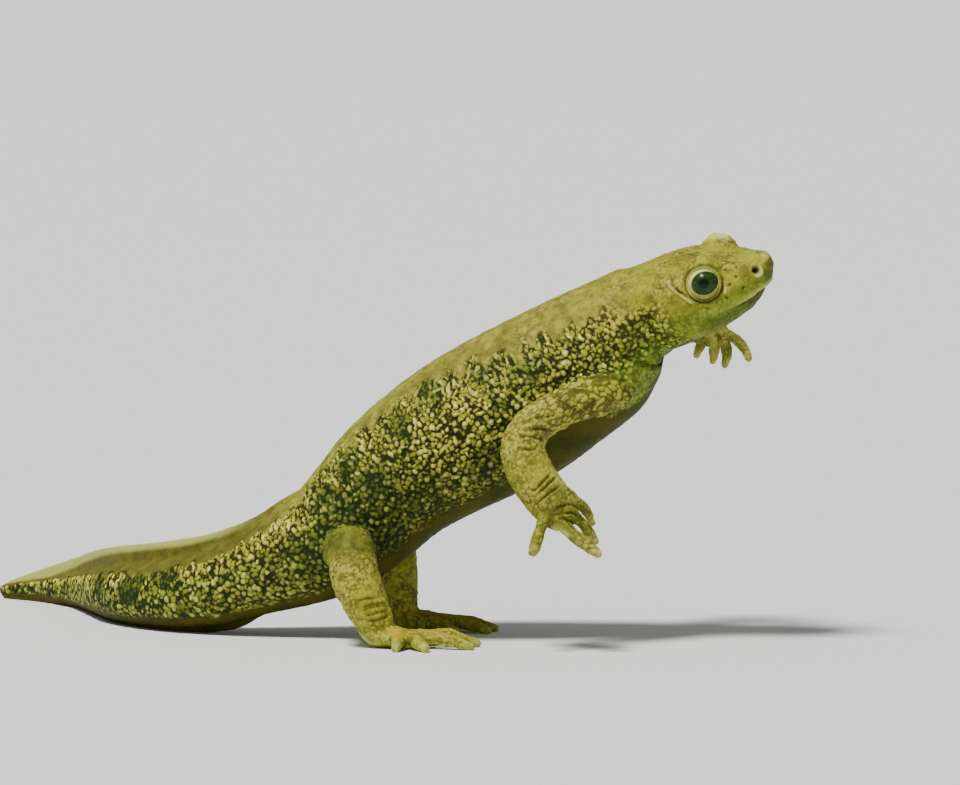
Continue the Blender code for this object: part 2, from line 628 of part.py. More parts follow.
def loose_parts(mesh):
    """The mesh's points in groups that hang together, largest first."""
    groups, seen = [], set()
    for vert in mesh.verts:
        if vert in seen:
            continue
        seen.add(vert)
        group, stack = [], [vert]
        while stack:
            here = stack.pop()
            group.append(here)
            for edge in here.link_edges:
                there = edge.other_vert(here)
                if there not in seen:
                    seen.add(there)
                    stack.append(there)
        groups.append(group)
    return sorted(groups, key=len, reverse=True)


def part_skin(newt):
    """Cuts the skin into its nodes and names each by the place it is nearest to.
    The scraps that a cut leaves at a rim are smaller than any node and are dropped."""
    cut(newt, root_blades())
    blades = bmesh.new()
    for centre, normal, radius in DISCS:
        disc(blades, centre, normal, radius)
    for side in (1, -1):
        ball(blades, eye_centre(side), EYE_RADIUS + PART_GAP)
    cut(newt, object_from(blades, "blades"))
    mesh = bmesh.new()
    mesh.from_mesh(newt.data)
    bmesh.ops.triangulate(mesh, faces=mesh.faces)
    made = {}
    for group in loose_parts(mesh)[:len(NODE_PLACES)]:
        middle = np.mean([tuple(vert.co) for vert in group], axis=0) / MM
        name = min((n for n in NODE_PLACES if n not in made),
                   key=lambda n: np.linalg.norm(middle - np.array(NODE_PLACES[n])))
        numbers = {vert: i for i, vert in enumerate(group)}
        faces = sorted({face for vert in group for face in vert.link_faces}, key=lambda f: f.index)
        data = bpy.data.meshes.new(name)
        data.from_pydata([tuple(vert.co) for vert in group], [],
                         [[numbers[vert] for vert in face.verts] for face in faces])
        data.update()
        made[name] = bpy.data.objects.new(name, data)
        bpy.context.scene.collection.objects.link(made[name])
    mesh.free()
    bpy.data.objects.remove(newt, do_unlink=True)
    return made


def open_lids(head):
    """Cuts a round opening over each eye, so that the lids end in a crisp rim."""
    openings = bmesh.new()
    for side in (1, -1):
        disc(openings, eye_centre(side) + EYE_RADIUS * eye_axis(side), eye_axis(side),
             EYE_OPENING, depth=2.4)
    cut(head, object_from(openings, "openings"))


def colour(obj, slot):
    """Gives a node the material of its slot."""
    material = bpy.data.materials.get(slot) or bpy.data.materials.new(slot)
    material.use_nodes = True
    shader = material.node_tree.nodes["Principled BSDF"]
    red, green, blue, rough = COLOURS[slot]
    shader.inputs["Base Color"].default_value = (red, green, blue, 1)
    shader.inputs["Roughness"].default_value = rough
    shader.inputs["Metallic"].default_value = 0.0
    obj.data.materials.clear()
    obj.data.materials.append(material)
    obj.data.shade_smooth()


def centre_on_floor(nodes):
    """Moves the animal so that the origin is under the middle of its box, on the floor."""
    points = np.concatenate([points_of(node) for node in nodes])
    low, high = points.min(axis=0), points.max(axis=0)
    shift = -np.array([(low[0] + high[0]) / 2, (low[1] + high[1]) / 2, 0.0])
    for node in nodes:
        points = points_of(node) + shift
        points[:, 2] = np.where(points[:, 2] < FLAT_BELOW, 0.0, points[:, 2])
        set_points(node, points)


def build():
    clear_scene()
    nodes = part_skin(make_skin())
    open_lids(nodes["head"])
    for side, name in ((1, "eye_right"), (-1, "eye_left")):
        mesh = bmesh.new()
        ball(mesh, eye_centre(side), EYE_RADIUS, detail=2)
        nodes[name] = object_from(mesh, name)
    for name, node in nodes.items():
        limb = name.startswith(("fore", "hind"))
        colour(node, "eye" if name.startswith("eye") else "limb" if limb else "skin")
    centre_on_floor(list(nodes.values()))


build()
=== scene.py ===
import math
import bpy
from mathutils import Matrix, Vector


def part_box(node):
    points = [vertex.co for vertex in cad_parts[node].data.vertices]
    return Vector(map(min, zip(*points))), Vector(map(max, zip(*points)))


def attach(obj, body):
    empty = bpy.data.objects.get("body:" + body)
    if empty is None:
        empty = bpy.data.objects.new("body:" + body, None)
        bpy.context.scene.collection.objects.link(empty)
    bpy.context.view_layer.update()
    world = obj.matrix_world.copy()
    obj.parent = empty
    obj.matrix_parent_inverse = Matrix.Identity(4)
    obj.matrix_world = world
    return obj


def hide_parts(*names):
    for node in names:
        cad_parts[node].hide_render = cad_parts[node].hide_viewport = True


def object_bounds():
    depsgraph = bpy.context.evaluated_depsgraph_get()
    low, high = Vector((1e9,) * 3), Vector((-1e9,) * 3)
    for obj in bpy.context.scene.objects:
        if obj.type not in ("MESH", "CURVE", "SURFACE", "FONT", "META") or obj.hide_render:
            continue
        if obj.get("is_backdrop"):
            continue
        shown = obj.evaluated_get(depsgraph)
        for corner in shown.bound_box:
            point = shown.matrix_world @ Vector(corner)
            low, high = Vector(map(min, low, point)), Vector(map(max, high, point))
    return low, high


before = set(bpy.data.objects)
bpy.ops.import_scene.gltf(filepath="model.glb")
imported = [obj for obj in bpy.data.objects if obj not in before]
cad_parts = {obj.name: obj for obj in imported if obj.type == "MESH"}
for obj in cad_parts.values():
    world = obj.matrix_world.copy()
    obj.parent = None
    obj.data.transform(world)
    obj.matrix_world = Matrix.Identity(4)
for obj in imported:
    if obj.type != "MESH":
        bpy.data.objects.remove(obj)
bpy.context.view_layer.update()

from types import SimpleNamespace

import bmesh
import bpy
import numpy as np
from mathutils import Vector
from mathutils.bvhtree import BVHTree
from mathutils.kdtree import KDTree

# Edough ribbed newt: one warty skin over the solids of the body, and a finer pair of eyes.
# Shapes are worked out in the animal's own millimetres and turned to metres when a mesh is made.
mm = 0.001

# The head's rows run from the snout back: ahead as a share of the length, top, bottom,
# half width as a share of the jaws', squareness
head = {
    "length": 16.8, "halfWidth": 7.5, "neck": (38.2, 0.0, 40.7),
    "pitch": 19.6, "yaw": 10.5, "roll": 16.0,      # degrees up, to the right and over
    "muzzleLean": 0.30, "muzzleOver": (12.5, 16.6),      # how far the snout leans over the mouth
    "rows": [
        (1.000, 0.55, -0.35, 0.04, 2.0),
        (0.990, 1.40, -0.90, 0.20, 2.2),
        (0.965, 1.95, -1.55, 0.33, 2.3),
        (0.925, 2.35, -2.25, 0.43, 2.4),
        (0.865, 2.80, -2.95, 0.54, 2.4),
        (0.740, 3.80, -3.75, 0.74, 2.5),
        (0.590, 4.85, -4.30, 0.91, 2.5),
        (0.420, 5.60, -4.65, 1.00, 2.5),
        (0.220, 5.80, -4.95, 0.99, 2.4),
        (0.000, 5.75, -5.45, 0.93, 2.2),
    ],
}
# Trunk rows: back x, back z, belly x, belly z, half width as a share of the widest, roll
trunk = {
    "halfWidth": 10.6,
    "rows": [
        (34.4, 45.7, 38.9, 32.3, 0.70, 13),
        (31.4, 44.4, 36.8, 28.7, 0.77, 11),
        (27.4, 42.7, 32.1, 24.9, 0.85, 9),
        (22.1, 40.2, 27.1, 21.1, 0.92, 7),
        (16.1, 37.2, 22.1, 18.4, 0.98, 5),
        (10.1, 33.7, 17.0, 16.0, 1.00, 4),
        (4.3, 29.3, 12.0, 13.3, 0.95, 3),
        (-0.2, 25.0, 7.9, 9.9, 0.85, 2),
        (-3.4, 20.9, 3.6, 6.9, 0.75, 1),
        (-6.8, 17.1, -1.4, 4.6, 0.64, 0),
    ],
}
# Tail rows: share of its length, muscle top and bottom, half width, fin top and bottom.
# The sweep and its easing are degrees, each with the stretch of the tail that it takes.
tail = {
    "length": 66.0, "from": 69.0, "root": (-6.5, 0.0),
    "sweep": 64.0, "sweepOver": (0.0, 0.55), "ease": 34.0, "easeOver": (0.62, 1.0),
    "lean": 3.2, "leanUntil": 0.3,
    "finHalfThickness": 0.42, "finRoot": [(-3.2, 19.6, -1.0, 14.0), (-7.6, 17.2, -4.0, 8.0)],
    "rows": [
        (0.08, 12.6, 2.4, 5.4, 14.6, 1.4),
        (0.16, 10.4, 0.9, 4.4, 12.7, -0.1),
        (0.27, 8.8, 0.4, 3.5, 11.3, -0.8),
        (0.42, 7.4, 0.3, 2.8, 10.0, -0.8),
        (0.58, 6.1, 0.3, 2.2, 8.6, -0.8),
        (0.74, 4.7, 0.3, 1.6, 6.7, -0.8),
        (0.88, 3.2, 0.4, 1.0, 4.4, -0.7),
        (0.97, 1.9, 0.5, 0.6, 2.5, -0.6),
    ],
}
# Limb rows: x, y, z, radius and flatness, from the body outwards. The right side is the near one.
limbs = {
    "armRight": [
        (34.6, -5.6, 31.9, 3.0, 1.0), (32.7, -8.6, 30.9, 2.5, 1.0), (29.2, -11.5, 29.6, 2.25, 1.0),
        (25.9, -13.6, 27.4, 2.4, 1.0), (24.9, -14.6, 24.7, 2.75, 0.9), (26.0, -15.0, 21.6, 2.8, 0.78),
        (27.8, -15.2, 19.1, 2.85, 0.62),
    ],
    "armLeft": [
        (34.3, 5.2, 33.5, 3.0, 1.0), (34.8, 8.6, 34.4, 2.5, 1.0), (35.3, 11.8, 35.4, 2.2, 1.0),
        (36.6, 14.2, 36.9, 2.3, 1.0), (38.4, 14.6, 38.0, 2.5, 0.9), (40.4, 14.5, 38.4, 2.4, 0.8),
        (42.6, 14.2, 38.1, 2.2, 0.7),
    ],
    "legRight": [
        (1.2, -3.6, 10.9, 3.4, 1.0), (2.2, -8.4, 11.6, 3.1, 1.0), (3.2, -12.0, 10.9, 2.9, 1.0),
        (4.0, -13.2, 8.2, 2.95, 1.0), (5.1, -13.0, 5.5, 2.65, 1.0), (6.3, -12.6, 2.7, 2.3, 1.0),
    ],
    "legLeft": [
        (0.4, 3.6, 10.6, 3.4, 1.0), (2.3, 7.2, 10.8, 3.0, 1.0), (4.4, 9.3, 9.6, 2.75, 1.0),
        (4.9, 9.3, 6.6, 2.45, 1.0), (5.3, 8.6, 4.0, 2.25, 1.0), (5.7, 8.0, 2.2, 2.05, 1.0),
    ],
    "palmRight": [(28.0, -15.2, 18.9, 2.85, 0.5), (29.3, -15.1, 17.4, 2.6, 0.42)],
    "palmLeft": [(42.8, 14.1, 38.0, 2.1, 0.55), (44.2, 14.0, 37.2, 1.9, 0.5)],
    "soleRight": [(6.6, -12.6, 1.7, 2.15, 0.72), (9.6, -12.8, 1.15, 2.5, 0.5)],
    "soleLeft": [(5.9, 8.0, 1.6, 2.0, 0.75), (9.0, 8.1, 1.15, 2.35, 0.5)],
}
# Fingers from the inner one out: knuckle to tip, with radii as shares of the finger radius
fingers = {
    "radius": 0.7,
    "right": [
        [(29.6, -13.9, 19.6, 1.2), (31.6, -12.6, 17.9, 0.95), (32.5, -11.9, 16.7, 0.8),
         (32.9, -11.8, 15.6, 0.6)],
        [(29.6, -14.5, 18.0, 1.25), (31.9, -13.9, 15.9, 1.0), (32.9, -13.9, 14.7, 0.9),
         (33.7, -14.0, 13.6, 0.62)],
        [(29.0, -15.4, 16.7, 1.25), (31.3, -16.4, 14.6, 1.15), (33.0, -16.9, 13.5, 1.1),
         (34.5, -17.2, 12.3, 0.72)],
        [(27.9, -15.9, 17.0, 1.2), (27.4, -17.0, 15.1, 0.95), (27.1, -17.4, 13.8, 1.05),
         (26.7, -17.5, 12.6, 0.9)],
    ],
    "left": [
        [(43.4, 13.1, 37.8, 1.1), (44.5, 11.6, 36.1, 0.95), (44.6, 10.9, 34.9, 0.85),
         (44.5, 10.6, 34.0, 0.65)],
        [(44.6, 13.5, 37.6, 1.1), (46.6, 13.5, 36.9, 0.95), (47.9, 13.6, 35.6, 0.9),
         (48.6, 13.6, 34.2, 0.65)],
        [(44.5, 14.6, 37.2, 1.15), (45.4, 15.4, 35.8, 1.0), (45.5, 15.8, 34.5, 0.95),
         (45.3, 15.9, 33.2, 0.7)],
        [(43.3, 15.2, 37.6, 1.1), (42.5, 16.4, 36.4, 0.95), (41.9, 17.0, 35.3, 0.95),
         (41.5, 17.3, 34.3, 0.75)],
    ],
}
# Toe tips in plan and the height of each toe's arch, inner toe first
toes = {
    "radius": 0.74, "tipHeight": 0.42, "spread": 0.72, "bow": 0.28, "bend": (0.42, 0.58),
    "sizes": (1.6, 1.35, 1.0, 1.08, 0.72),      # heel to tip, as shares of the radius
    "right": [(13.9, -8.2, 0.9), (18.4, -10.0, 1.5), (18.3, -13.6, 1.2), (13.4, -17.3, 1.0),
              (9.7, -17.6, 0.9)],
    "left": [(13.2, 4.4, 0.9), (17.0, 5.8, 1.2), (17.4, 8.6, 1.2), (13.6, 12.1, 1.0),
             (9.9, 12.9, 0.9)],
}
eye = {
    "at": (9.75, 5.3, 2.2), "look": (0.30, 0.92, 0.25),   # ahead, out to the side, up
    "radius": 2.0,
    "opening": (1.69, 1.38), "openingShift": (0.15, 0.0),   # between the lids: half sizes, place
    "rimRadius": 2.12, "rimHeight": 0.42, "rimPale": (0.18, 0.75),      # the pale ring of the lids
    "grooveDepth": 0.14,
    # Swellings around it: how far along its look, up and ahead, and how much larger than the eye
    "swellings": [(-0.35, 0.0, 0.0, 0.7), (-0.9, 1.15, 0.35, 0.4)],
}


def unit(vector):
    vector = np.asarray(vector, float)
    return vector / np.linalg.norm(vector)


def lengthsOf(rows):
    return np.linalg.norm(rows, axis=1)


def ramp(value, low, high):
    t = np.clip((value - low) / (high - low), 0, 1)   # nought at low, one at high, in either order
    return t * t * (3 - 2 * t)


def over(value, begin, full, fade=None, end=None):
    share = ramp(value, begin, full)      # given an end, it fades again
    return share if end is None else share * ramp(value, end, fade)


def bump(distance, width):
    return np.exp(-(distance / width) ** 2)


def headAxes():
    pitch, yaw, roll = (math.radians(head[key]) for key in ("pitch", "yaw", "roll"))
    forward = np.array([math.cos(pitch) * math.cos(yaw), -math.cos(pitch) * math.sin(yaw),
                        math.sin(pitch)])
    levelRight = unit([-math.sin(yaw), -math.cos(yaw), 0.0])
    levelUp = np.cross(levelRight, forward)
    right = math.cos(roll) * levelRight - math.sin(roll) * levelUp
    return forward, right, math.cos(roll) * levelUp + math.sin(roll) * levelRight


headForward, headRight, headUp = headAxes()


def onHead(ahead, right, up):
    return np.array(head["neck"]) + ahead * headForward + right * headRight + up * headUp


def eyeCentre(side):
    ahead, out, up = eye["at"]
    return onHead(ahead, side * out, up)


def eyeAxis(side):
    ahead, out, up = eye["look"]
    return unit(ahead * headForward + side * out * headRight + up * headUp)


def tailPlan(along):
    steps = 60
    x, y = tail["root"]
    for i in range(steps):
        share = (i + 0.5) / steps * along / tail["length"]
        heading = math.radians(tail["sweep"] * ramp(share, *tail["sweepOver"])
                               - tail["ease"] * ramp(share, *tail["easeOver"]))
        x -= math.cos(heading) * along / steps
        y += math.sin(heading) * along / steps
    return x, y


def upright(x, y, top, bottom, halfWidth, square, lean=0.0):
    return np.array([x - lean / 2, y, top]), np.array([x + lean / 2, y, bottom]), halfWidth, square


def bodyStations():
    rows = [(onHead(head["length"] * ahead, 0, top), onHead(head["length"] * ahead, 0, bottom),
             head["halfWidth"] * width, square) for ahead, top, bottom, width, square in head["rows"]]
    for backX, backZ, bellyX, bellyZ, width, roll in trunk["rows"]:
        back, belly = np.array([backX, 0, backZ]), np.array([bellyX, 0, bellyZ])
        lean = np.array([0, -0.5 * np.linalg.norm(back - belly) * math.sin(math.radians(roll)), 0])
        rows.append((back + lean, belly - lean, trunk["halfWidth"] * width, 2.1))
    for share, top, bottom, halfWidth, _, _ in tail["rows"]:
        x, y = tailPlan(share * tail["length"])
        lean = tail["lean"] * max(0.0, 1.0 - share / tail["leanUntil"])
        rows.append(upright(x, y, top, bottom, halfWidth, 2.0, lean))
    x, y = tailPlan(tail["length"] * 0.995)
    return rows + [upright(x, y, 1.3, 0.8, 0.25, 2.0)]


def finStations():
    thick = tail["finHalfThickness"]
    rows = [(np.array([topX, 0, topZ]), np.array([lowX, 0, lowZ]), thick, 3.0)
            for topX, topZ, lowX, lowZ in tail["finRoot"]]
    for share, _, _, _, top, bottom in tail["rows"]:
        x, y = tailPlan(share * tail["length"])
        rows.append(upright(x, y, top, bottom, thick, 3.0))
    x, y = tailPlan(tail["length"])
    return rows + [upright(x, y, 1.6, 0.5, 0.3, 2.0)]


def smoothRows(rows, step):
    rows = np.asarray(rows, float)    # put on a Catmull-Rom curve, about one row for each step
    padded = np.vstack([2 * rows[0] - rows[1], rows, 2 * rows[-1] - rows[-2]])
    out = []
    for i in range(1, len(padded) - 2):
        a, b, c, d = padded[i - 1:i + 3]
        count = max(1, round(float(np.linalg.norm((c - b)[:3])) / step))
        for k in range(count):
            t = k / count
            out.append(0.5 * (2 * b + (c - a) * t + (2 * a - 5 * b + 4 * c - d) * t * t
                              + (3 * b - a - 3 * c + d) * t ** 3))
    out.append(rows[-1])
    return np.array(out)


def addRings(mesh, rings):
    loops = [[mesh.verts.new(point) for point in ring] for ring in rings]
    for first, second in zip(loops, loops[1:]):
        count = len(first)
        for i in range(count):
            j = (i + 1) % count
            mesh.faces.new((first[i], first[j], second[j], second[i]))
    for loop, points in ((loops[0][::-1], rings[0]), (loops[-1], rings[-1])):
        middle = mesh.verts.new(np.mean(points, axis=0))
        for i in range(len(loop)):
            mesh.faces.new((loop[i], loop[(i + 1) % len(loop)], middle))


def bodyLine(stations, step=0.6):
    rows = smoothRows([(*(0.5 * (back + belly)), *(0.5 * (back - belly)), width, square)
                       for back, belly, width, square in stations], step)
    centres, rises = rows[:, :3], rows[:, 3:6]
    sides = np.cross(rises, np.gradient(centres, axis=0))
    sides /= lengthsOf(sides)[:, None]
    return centres, rises, sides, rows[:, 6], rows[:, 7]


def loft(mesh, stations, count=64):
    rings = []
    for centre, rise, side, width, square in zip(*bodyLine(stations)):
        ring = []
        for i in range(count):
            angle = 2 * math.pi * i / count
            c, s = math.cos(angle), math.sin(angle)
            out = math.copysign(abs(c) ** (2 / square), c) * max(width, 0.05)
            ring.append(centre + out * side + math.copysign(abs(s) ** (2 / square), s) * rise)
        rings.append(ring)
    addRings(mesh, rings)


def tube(mesh, rows, thin=(0, 1, 0), sides=28, step=0.4):
    rows = smoothRows(rows, step)     # a round-ended limb
    centres, sizes, flats = rows[:, :3], rows[:, 3], rows[:, 4]
    tangents = np.gradient(centres, axis=0)
    start, end = unit(tangents[0]), unit(tangents[-1])
    cap = [math.sin(math.pi / 2 * k / 5) for k in range(5)]
    path = [(centres[0] - start * sizes[0] * math.sqrt(1 - c * c), start,
             sizes[0] * max(c, 0.05), flats[0]) for c in cap]
    path += list(zip(centres, tangents, sizes, flats))
    path += [(centres[-1] + end * sizes[-1] * math.sqrt(1 - c * c), end,
              sizes[-1] * max(c, 0.05), flats[-1]) for c in cap[::-1]]
    rings = []
    for centre, tangent, size, flat in path:
        tangent = unit(tangent)
        across = unit(np.cross(unit(thin), tangent))
        rise = np.cross(tangent, across) * flat
        rings.append([centre + size * (math.cos(a) * across + math.sin(a) * rise)
                      for a in np.linspace(0, 2 * math.pi, sides, endpoint=False)])
    addRings(mesh, rings)


def ball(mesh, centre, radius):
    made = bmesh.ops.create_icosphere(mesh, subdivisions=4, radius=radius)
    bmesh.ops.translate(mesh, verts=made["verts"], vec=Vector(centre))


def addHand(mesh, palm, hand):
    tube(mesh, palm)
    for finger in hand:
        knuckle, wrist = np.array(finger[0][:3]), np.array(palm[0][:3])
        rows = [(*(wrist + 0.3 * (knuckle - wrist)), 1.1 * fingers["radius"], 1.0)]
        rows += [(x, y, z, share * fingers["radius"], 1.0) for x, y, z, share in finger]
        tube(mesh, rows, sides=16, step=0.3)


def addFoot(mesh, sole, foot):
    tube(mesh, sole, thin=(0, 0, 1))
    heel, front = (np.array(row[:3]) for row in sole)
    for index, (tipX, tipY, arch) in enumerate(foot):
        tip = np.array([tipX, tipY, toes["tipHeight"]])
        spread = (index - 2) * toes["spread"] * math.copysign(1.0, heel[1])
        knuckle = front + (1.0 - toes["bow"] * (index - 2) ** 2, spread, 0.15)
        middle = toes["bend"][0] * knuckle + toes["bend"][1] * tip
        middle[2] = arch
        path = (0.5 * (heel + knuckle), knuckle, 0.5 * (knuckle + middle) + (0, 0, 0.1), middle, tip)
        tube(mesh, [(*place, size * toes["radius"], 1.0) for place, size in zip(path, toes["sizes"])],
             thin=(0, 0, 1), sides=16, step=0.3)


def addLimbs(mesh):
    for side in ("Right", "Left"):
        tube(mesh, limbs["arm" + side])
        addHand(mesh, limbs["palm" + side], fingers[side.lower()])
        tube(mesh, limbs["leg" + side])
        addFoot(mesh, limbs["sole" + side], toes[side.lower()])


def addOrbits(mesh):
    for side in (1, -1):
        for out, up, ahead, larger in eye["swellings"]:
            middle = eyeCentre(side) + out * eyeAxis(side) + up * headUp + ahead * headForward
            ball(mesh, middle, eye["radius"] + larger)


# How far the animal's millimetres are from the row frame, read from the eye's own box
low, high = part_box("eye_right")
shift = (np.array(low) + np.array(high)) / 2 / mm - eyeCentre(1)


def objectFrom(mesh, name):
    bmesh.ops.recalc_face_normals(mesh, faces=mesh.faces)
    data = bpy.data.meshes.new(name)
    mesh.to_mesh(data)
    mesh.free()
    made = bpy.data.objects.new(name, data)
    bpy.context.scene.collection.objects.link(made)
    return made


def readPoints(obj, what="co"):
    values = np.empty(len(obj.data.vertices) * 3)
    obj.data.vertices.foreach_get(what, values)
    return values.reshape(-1, 3)


def setPoints(obj, points):
    obj.data.vertices.foreach_set("co", points.ravel())
    obj.data.update()


def distances(tree, points, chosen, other):
    out = np.full(len(points), float(other))
    out[chosen] = [tree.find_nearest(Vector(p))[3] for p in points[chosen]]
    return out


def smoothed(obj, points, weight, rounds):
    edges = np.empty(len(obj.data.edges) * 2, int)
    obj.data.edges.foreach_get("vertices", edges)
    first, second = edges.reshape(-1, 2).T
    count = np.bincount(first, minlength=len(points)) + np.bincount(second, minlength=len(points))
    for _ in range(rounds):
        middle = np.stack([np.bincount(first, points[second, axis], len(points))
                           + np.bincount(second, points[first, axis], len(points))
                           for axis in range(3)], 1) / count[:, None]
        points = points + weight[:, None] * (middle - points)
    return points


def latticeNoise(points, scale, seed):
    place = points / scale + seed * 7.31      # smooth noise from nought to one
    cell = np.floor(place).astype(np.int64)
    t = place - cell
    t = t * t * (3 - 2 * t)
    total = np.zeros(len(points))
    for corner in range(8):
        step = np.array([corner & 1, corner >> 1 & 1, corner >> 2 & 1])
        x, y, z = (cell + step).T
        mixed = (x * 73856093) ^ (y * 19349663) ^ (z * 83492791) ^ (seed * 2654435)
        mixed = (mixed ^ (mixed >> 13)) * 1274126177 & 0xffffffff
        value = (mixed ^ (mixed >> 16)) / 0xffffffff
        total += value * np.prod(np.where(step, t, 1 - t), axis=1)
    return total


def nearestOf(points, centres):
    nearest = np.empty(len(points), int)
    for start in range(0, len(points), 8000):
        block = points[start:start + 8000]
        gaps = ((block ** 2).sum(axis=1)[:, None] + (centres ** 2).sum(axis=1)[None]
                - 2 * block @ centres.T)
        nearest[start:start + 8000] = gaps.argmin(axis=1)
    return nearest


def linePlaces(points, centres):
    steps = lengthsOf(np.diff(centres, axis=0))      # lengths along a middle line
    lengths = np.concatenate([[0], np.cumsum(steps)])
    tangents = np.gradient(centres, axis=0)
    tangents /= lengthsOf(tangents)[:, None]
    nearest = nearestOf(points, centres)
    away = points - centres[nearest]
    along = lengths[nearest] + (away * tangents[nearest]).sum(axis=1)
    return along, nearest, away, tangents[nearest]


def bodyPlaces(points):
    centres, rises, sides, _, _ = bodyLine(bodyStations(), 0.5)
    along, nearest, away, tangents = linePlaces(points, centres)
    up = np.cross(tangents, sides[nearest])
    up *= np.sign((up * rises[nearest]).sum(axis=1))[:, None]
    angle = np.degrees(np.arctan2((away * up).sum(axis=1), abs((away * sides[nearest]).sum(axis=1))))
    return along, angle, tangents


def limbPlaces(points, rows):
    path = smoothRows(rows, 0.3)      # length along the limb, and how far out in shares of its radius
    along, nearest, away, tangents = linePlaces(points, path[:, :3])
    return along, lengthsOf(away) / path[nearest, 3], tangents


def lineDistance(flat, corners):
    corners = np.asarray(corners, float)      # from points to a bent line, with the share along it
    best, share = np.full(len(flat), 1e9), np.zeros(len(flat))
    for i, (a, b) in enumerate(zip(corners, corners[1:])):
        t = np.clip((flat - a) @ (b - a) / ((b - a) @ (b - a)), 0, 1)
        gap = lengthsOf(flat - a - t[:, None] * (b - a))
        closer = gap < best
        best[closer], share[closer] = gap[closer], (i + t[closer]) / (len(corners) - 1)
    return best, share


# The skin's grid in millimetres, its rounds of smoothing, and where it is worked more finely
grid = {
    "voxel": 0.145, "joinRounds": 64, "evenRounds": 6, "tailRounds": 16,
    "limbReach": 2.6, "join": (1.6, 0.5), "offLimb": (0.5, 1.5), "offArm": (0.2, 0.8),
    "eye": 3.6, "snout": (14.5, 5.0), "hand": ((30.5, -15.0, 16.0), 5.5),
}


def limbMiddles():
    rows = [row for name in limbs for row in smoothRows(limbs[name], 0.6)[:, :4]]
    for hand in (fingers["right"], fingers["left"]):
        rows += [(x, y, z, fingers["radius"]) for finger in hand for x, y, z, _ in finger]
    for side in ("Right", "Left"):
        heel = np.array(limbs["sole" + side][0][:3])
        for x, y, _ in toes[side.lower()]:
            tip = np.array([x, y, toes["tipHeight"]])
            rows += [(*(heel + t * (tip - heel)), toes["radius"]) for t in (0.3, 0.5, 0.7, 0.85, 1.0)]
    return np.array(rows)


def fusedSkin():
    body, legs, skin = bmesh.new(), bmesh.new(), bmesh.new()
    loft(body, bodyStations())
    loft(body, finStations(), count=24)
    addOrbits(body)
    addLimbs(legs)
    for source in (body, legs):
        bmesh.ops.recalc_face_normals(source, faces=source.faces)
        data = bpy.data.meshes.new("piece")
        source.to_mesh(data)
        skin.from_mesh(data)
        bpy.data.meshes.remove(data)
    newt = objectFrom(skin, "skin")
    fuse = newt.modifiers.new("fuse", "REMESH")
    fuse.mode, fuse.voxel_size = "VOXEL", grid["voxel"]
    graph = bpy.context.evaluated_depsgraph_get()
    data = bpy.data.meshes.new_from_object(newt.evaluated_get(graph))
    newt.modifiers.clear()
    newt.data = data
    print("skin fused:", len(data.polygons), "faces")
    trees = [BVHTree.FromBMesh(mesh) for mesh in (body, legs)]
    body.free()
    legs.free()
    return newt, trees


def refineNear(newt, places):
    mesh = bmesh.new()      # splits the faces near the given places once
    mesh.from_mesh(newt.data)
    points = readPoints(newt)
    chosen = np.zeros(len(points), bool)
    for place, reach in places:
        chosen |= lengthsOf(points - place) < reach
    edges = [edge for edge in mesh.edges if chosen[edge.verts[0].index] and chosen[edge.verts[1].index]]
    bmesh.ops.subdivide_edges(mesh, edges=edges, cuts=1, use_grid_fill=True)
    mesh.to_mesh(newt.data)
    mesh.free()
    newt.data.update()


def treeOf(points):
    tree = KDTree(len(points))
    for i, point in enumerate(points):
        tree.insert(point, i)
    tree.balance()
    return tree


def scatter(points, room, spacing, seed):
    spots = np.random.RandomState(seed)      # picks points that keep their spacing where there is room
    order = spots.permutation(np.flatnonzero(room > 0.02))
    cells = np.floor(points[order] / (0.45 * float(spacing.min()))).astype(np.int64)
    key = (cells[:, 0] * 4001 + cells[:, 1]) * 4001 + cells[:, 2]
    order = order[np.sort(np.unique(key, return_index=True)[1])]
    tree = treeOf(points[order])
    free, kept = [True] * len(order), []
    for i, vertex in enumerate(order.tolist()):
        if free[i]:
            kept.append(vertex)
            for _, j, _ in tree.find_range(points[vertex], spacing[vertex]):
                free[j] = False
    return kept


def nearestSpots(points, spots, count):
    tree = treeOf(spots)
    index = np.zeros((len(points), count), int)
    for row, point in enumerate(points.tolist()):
        index[row] = [found[1] for found in tree.find_n(point, count)]
    return index


# Granules and warts: how far their sizes, stretches and heights vary, the share that are almost gone
domes = {
    "size": (0.7, 1.3), "stretch": (0.5, 1.5), "turn": 0.45, "height": (0.3, 1.0),
    "gone": 0.15, "goneHeight": 0.3, "roundness": 0.85, "pressedReach": 1.35, "pressedGroove": 0.7,
}


